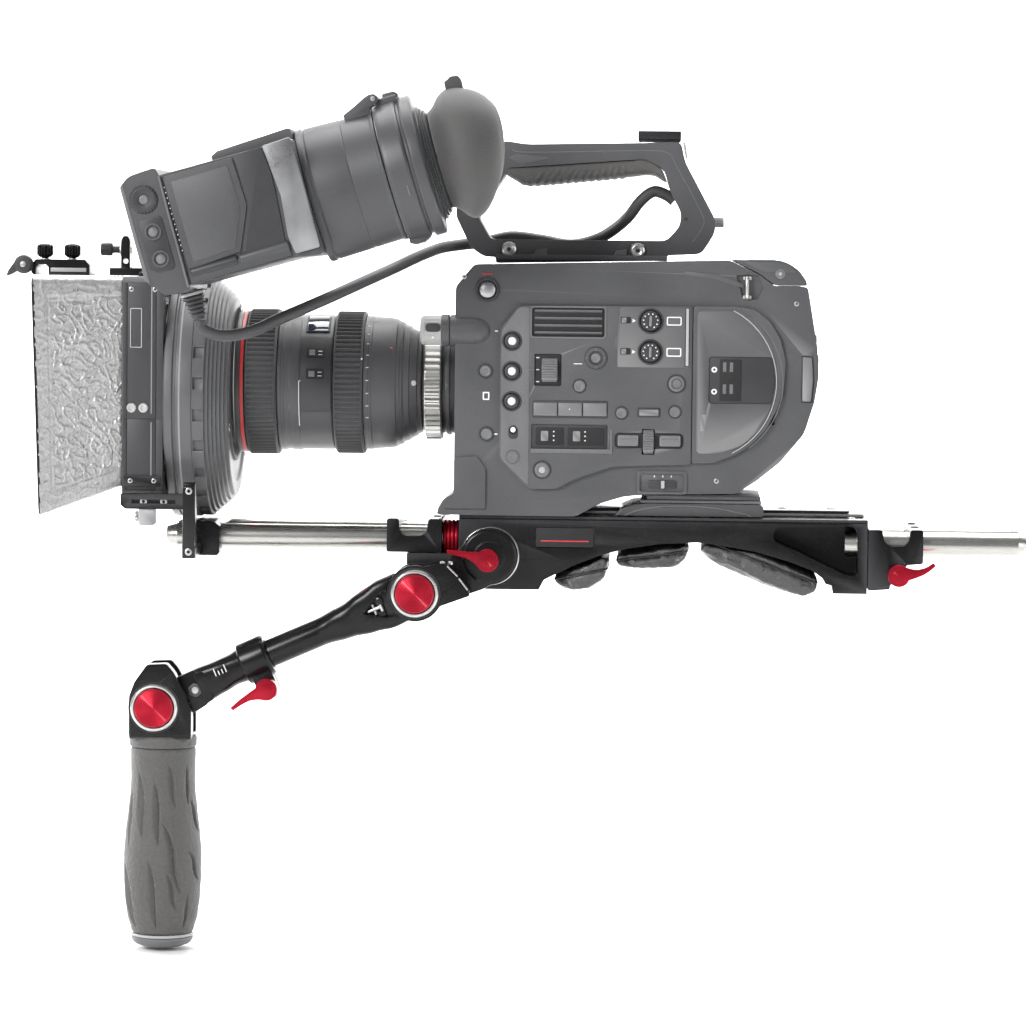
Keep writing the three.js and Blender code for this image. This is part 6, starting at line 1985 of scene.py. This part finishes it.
def stuffed(piece):
    """Blows the cover up with Cloth and keeps each point within reach of where it started."""
    start = [v.co.copy() for v in piece.data.vertices]
    cloth = piece.modifiers.new("stuffing", "CLOTH")
    set_up = cloth.settings
    set_up.quality = 6
    set_up.mass = 0.25
    set_up.tension_stiffness = set_up.compression_stiffness = 12
    set_up.shear_stiffness = 6
    set_up.bending_stiffness = 0.02
    set_up.shrink_min = -0.045
    set_up.use_pressure = True
    set_up.uniform_pressure_force = 4
    set_up.effector_weights.gravity = 0
    cloth.collision_settings.use_collision = False
    cloth.point_cache.frame_start, cloth.point_cache.frame_end = 1, PAD_FRAMES
    scene = bpy.context.scene
    for frame_number in range(1, PAD_FRAMES + 1):
        scene.frame_set(frame_number)
    baked(piece)
    scene.frame_set(1)
    limit = PAD_REACH * MM
    for vertex, home in zip(piece.data.vertices, start):
        shift = vertex.co - home
        if shift.length > limit:
            vertex.co = home + shift.normalized() * limit
    return piece


def pad_seam(piece, height, tilt):
    """The loop where the two covers of a pad meet, found by casting out from its middle."""
    tree = BVHTree.FromObject(piece, bpy.context.evaluated_depsgraph_get())
    points = [v.co for v in piece.data.vertices]
    low = Vector([min(p[i] for p in points) for i in range(3)])
    high = Vector([max(p[i] for p in points) for i in range(3)])
    middle = (low + high) / 2
    middle.z += height * MM
    loop = []
    half = (high - low) / 2
    for k in range(SEAM_RAYS):
        a = 2 * math.pi * k / SEAM_RAYS
        way = Vector((math.cos(a) * half.x, math.sin(a) * half.y, 0))
        way.z = way.x * math.tan(math.radians(tilt))
        spot = middle + way * 1.8
        hit = tree.ray_cast(spot, (middle - spot).normalized())[0]
        if hit:
            loop.append(hit)
    return loop


def creased(piece, loop, seed):
    """Presses the seam in and folds slanted creases into the cover, below the frame's arch."""
    near_seam = KDTree(len(loop))
    for i, point in enumerate(loop):
        near_seam.insert(point, i)
    near_seam.balance()
    piece.data.update()
    normals = [v.normal.copy() for v in piece.data.vertices]
    for vertex, normal in zip(piece.data.vertices, normals):
        spot = vertex.co / MM
        slant = Vector((spot.x * 0.21 + spot.z * 0.26, spot.y * 0.06, spot.z * 0.16 - spot.x * 0.05))
        slant += noise.noise_vector(spot * 0.06 + Vector((seed, 0, 0))) * 0.8
        fold = 1 - abs(noise.noise(slant + Vector((seed, 0, 0)))) * 3.2
        small = 1 - abs(noise.noise(slant * 2.6 + Vector((0, seed, 0)))) * 2.6
        distance = near_seam.find(vertex.co)[2] / MM
        gather = 0.2 * math.exp(-distance / 4) * math.sin(spot.y * 1.3 + spot.x * 1.1)
        height = -0.34 * max(0, fold) - 0.1 * max(0, small) + gather + 0.3
        height -= 0.9 * math.exp(-(distance / 1.1) ** 2)
        vertex.co += normal * height * MM
        top = line_height(ARCH, vertex.co.x / MM - SHIFT) - ARCH_CLEARANCE
        vertex.co.z = min(vertex.co.z, top * MM)


def pad(node, seam_height, seam_tilt, seed):
    """A stuffed leather pad with a piped seam, in place of the plain solid of that name."""
    bm = prism(PADS[node], (-PAD_HALF_WIDTH, PAD_HALF_WIDTH), "y", 2.0, 1.6, 3)
    bm.transform(Matrix.Scale(MM, 4) @ Matrix.Translation((SHIFT, 0, 0)))
    piece = remeshed(to_object(bm, node + "_cover"), PAD_VOXEL)
    stuffed(piece)
    ease = piece.modifiers.new("ease", "SMOOTH")
    ease.factor, ease.iterations = 0.5, 3
    finer = piece.modifiers.new("finer", "SUBSURF")
    finer.levels = finer.render_levels = 1
    baked(piece)
    loop = pad_seam(piece, seam_height, seam_tilt)
    creased(piece, loop, seed)
    piece.data.materials.append(LOOK["leather"])
    piping = swept([p / MM for p in loop[::2]], PIPING_RADIUS, 10, 3, True)
    piping.transform(Matrix.Scale(MM, 4))
    add_solid(piece, piping, "leather_piping")
    finish_mesh(piece, 60)
    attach(piece, "shoulder")
    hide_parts(node)


def add_solid(piece, solid, look):
    """Joins one more solid to a piece, with a material of its own."""
    index = len(piece.data.materials)
    piece.data.materials.append(LOOK[look])
    for face in solid.faces:
        face.material_index = index
    extra = bpy.data.meshes.new("extra")
    solid.to_mesh(extra)
    solid.free()
    whole = bmesh.new()
    whole.from_mesh(piece.data)
    whole.from_mesh(extra)
    whole.to_mesh(piece.data)
    whole.free()
    bpy.data.meshes.remove(extra)


# ------------------------------------------------------------------ viewfinder lead
CABLE_ROUTE = [(-201.5, -125, 159), (-200.1, -124.8, 154.4), (-189, -121, 150.6), (-172.8, -112, 153.3),
               (-156.5, -100, 161), (-133, -84, 171.8), (-111, -64, 182.6), (-94, -40, 191.2),
               (-81, -14, 198.2), (-70, 9, 203), (-58, 20, 205.2), (-44, 21.5, 207), (-28, 21, 210.4),
               (-10, 21, 208.6), (8, 21, 205.8), (23, 20, 209), (33.5, 12.5, 214.6), (43, 3, 222.6),
               (50.5, 0, 232.4), (58.5, 0, 238.2), (66.3, 0, 236), (70.8, 0, 232.6)]
CABLE_RADIUS = 3.5


def finder_cable():
    """The lead from the boot under the viewfinder to the handle's rear leg."""
    path = smooth_path(CABLE_ROUTE, 8)
    kit = Kit("finder_cable_lead")
    kit.add("cable", swept(path, CABLE_RADIUS, 20, 0))
    piece = kit.done(None, "cable_jacket", ["finder_cable"], 60)
    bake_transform(piece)


pad("front_pad", -0.5, 12, 3.1)
pad("middle_pad", -0.4, 8, 7.7)
pad("rear_pad", 4.6, -20, 12.4)
finder_cable()


# ------------------------------------------------------------------ stage
FLOOR_HEIGHT = -0.2148       # metres, like the rest of this section
FLOOR_FRONT, BACKDROP = -3.4, 2.6
STAGE_HALF_WIDTH = 4.0
BACKDROP_TOP = 3.2
SWEEP_RADIUS = 1.2           # of the curve from the floor up into the backdrop
SWEEP_STEPS = 16
# name, place, aim, size across and up, watts
LAMPS = (
    ("key_light", (-1.4, -2.0, 1.15), (0, 0, 0.05), (1.1, 0.8), 60),
    ("fill_light", (1.9, -1.6, 0.3), (0, 0, 0.05), (0.9, 1.4), 11),
    ("top_light", (0.0, 0.35, 1.7), (0, 0, 0), (2.0, 0.9), 8),
    ("left_rim", (-1.8, 0.7, 0.5), (0, 0, 0.05), (0.7, 1.4), 26),
    ("right_rim", (1.8, 0.7, 0.5), (0, 0, 0.05), (0.7, 1.4), 26),
    ("backdrop_light", (0, 1.0, 1.9), (0, 2.6, 0.4), (3.0, 0.8), 130),
    ("floor_light", (0, 0.5, 2.4), (0, 1.1, -0.2), (3.0, 1.4), 60),
)
WORLD_COLOR = (0.95, 0.97, 1.0, 1)
WORLD_LIGHT = 0.3            # strength of the world as a light
WORLD_SEEN = 1.06            # and as the ground that shows past the backdrop
CAMERA_PLACE = Vector((0.0992, -2.63, 0.1941))
CAMERA_AIM = Vector((0.0013, 0.0, 0.0404))
CAMERA_ROLL = 0.61           # degrees
CAMERA_LENS, CAMERA_SENSOR = 151.3, 36      # millimetres


def aimed(place, aim):
    """The turn of a lamp or camera that looks from a place at a point."""
    return (Vector(aim) - Vector(place)).to_track_quat("-Z", "Y")


def placed(name, data, place):
    """Adds one lamp or camera to the scene at its place."""
    made = bpy.data.objects.new(name, data)
    bpy.context.scene.collection.objects.link(made)
    made.location = place
    return made


def floor_and_backdrop():
    """One pale sheet, swept up behind the rig; its back lets light and sight through."""
    line = [(FLOOR_FRONT, 0.0)]
    for k in range(SWEEP_STEPS + 1):
        turned = math.pi / 2 * k / SWEEP_STEPS
        back, up = SWEEP_RADIUS * (1 - math.sin(turned)), SWEEP_RADIUS * (1 - math.cos(turned))
        line.append((BACKDROP - back, up))
    line.append((BACKDROP, BACKDROP_TOP))
    bm = bmesh.new()
    rows = [[bm.verts.new((x, y, FLOOR_HEIGHT + z)) for x in (-STAGE_HALF_WIDTH, STAGE_HALF_WIDTH)]
            for y, z in line]
    for a, b in zip(rows, rows[1:]):
        bm.faces.new((a[0], a[1], b[1], b[0]))
    floor = to_object(bm, "floor")
    finish_mesh(floor, 60)
    g = Graph("pale_floor")
    behind = g.node("ShaderNodeNewGeometry").outputs["Backfacing"]
    g.set(Base_Color=g.ramp(g.noise(3, 2), [(0.3, (0.86, 0.86, 0.86)), (0.7, (0.9, 0.9, 0.9))]),
          Roughness=0.75, Alpha=g.math("SUBTRACT", 1.0, behind))
    floor.data.materials.append(g.material)


def lights():
    """The lamps of the stage, each aimed at its own spot."""
    for name, place, aim, size, power in LAMPS:
        data = bpy.data.lights.new(name, "AREA")
        data.shape = "RECTANGLE"
        data.size, data.size_y = size
        data.energy = power
        placed(name, data, place).rotation_euler = aimed(place, aim).to_euler()


def world():
    """A dim world as light, which the camera sees as white."""
    made = bpy.data.worlds.new("studio")
    made.use_nodes = True
    nodes, links = made.node_tree.nodes, made.node_tree.links
    background = nodes["Background"]
    background.inputs["Color"].default_value = WORLD_COLOR
    seen = nodes.new("ShaderNodeLightPath")
    strength = nodes.new("ShaderNodeMapRange")
    strength.inputs["To Min"].default_value = WORLD_LIGHT
    strength.inputs["To Max"].default_value = WORLD_SEEN
    links.new(seen.outputs["Is Camera Ray"], strength.inputs["Value"])
    links.new(strength.outputs["Result"], background.inputs["Strength"])
    bpy.context.scene.world = made
    bpy.context.scene.view_settings.view_transform = "Standard"
    bpy.context.scene.view_settings.look = "None"


def view_camera():
    """The camera, aimed at the rig and rolled a little."""
    data = bpy.data.cameras.new("view")
    data.lens, data.sensor_width = CAMERA_LENS, CAMERA_SENSOR
    data.clip_start, data.clip_end = 0.05, 50
    camera = placed("view", data, CAMERA_PLACE)
    facing = aimed(CAMERA_PLACE, CAMERA_AIM).to_matrix().to_4x4()
    roll = Matrix.Rotation(math.radians(CAMERA_ROLL), 4, "Z")
    camera.rotation_euler = (facing @ roll).to_euler()
    bpy.context.scene.camera = camera


floor_and_backdrop()
lights()
world()
view_camera()
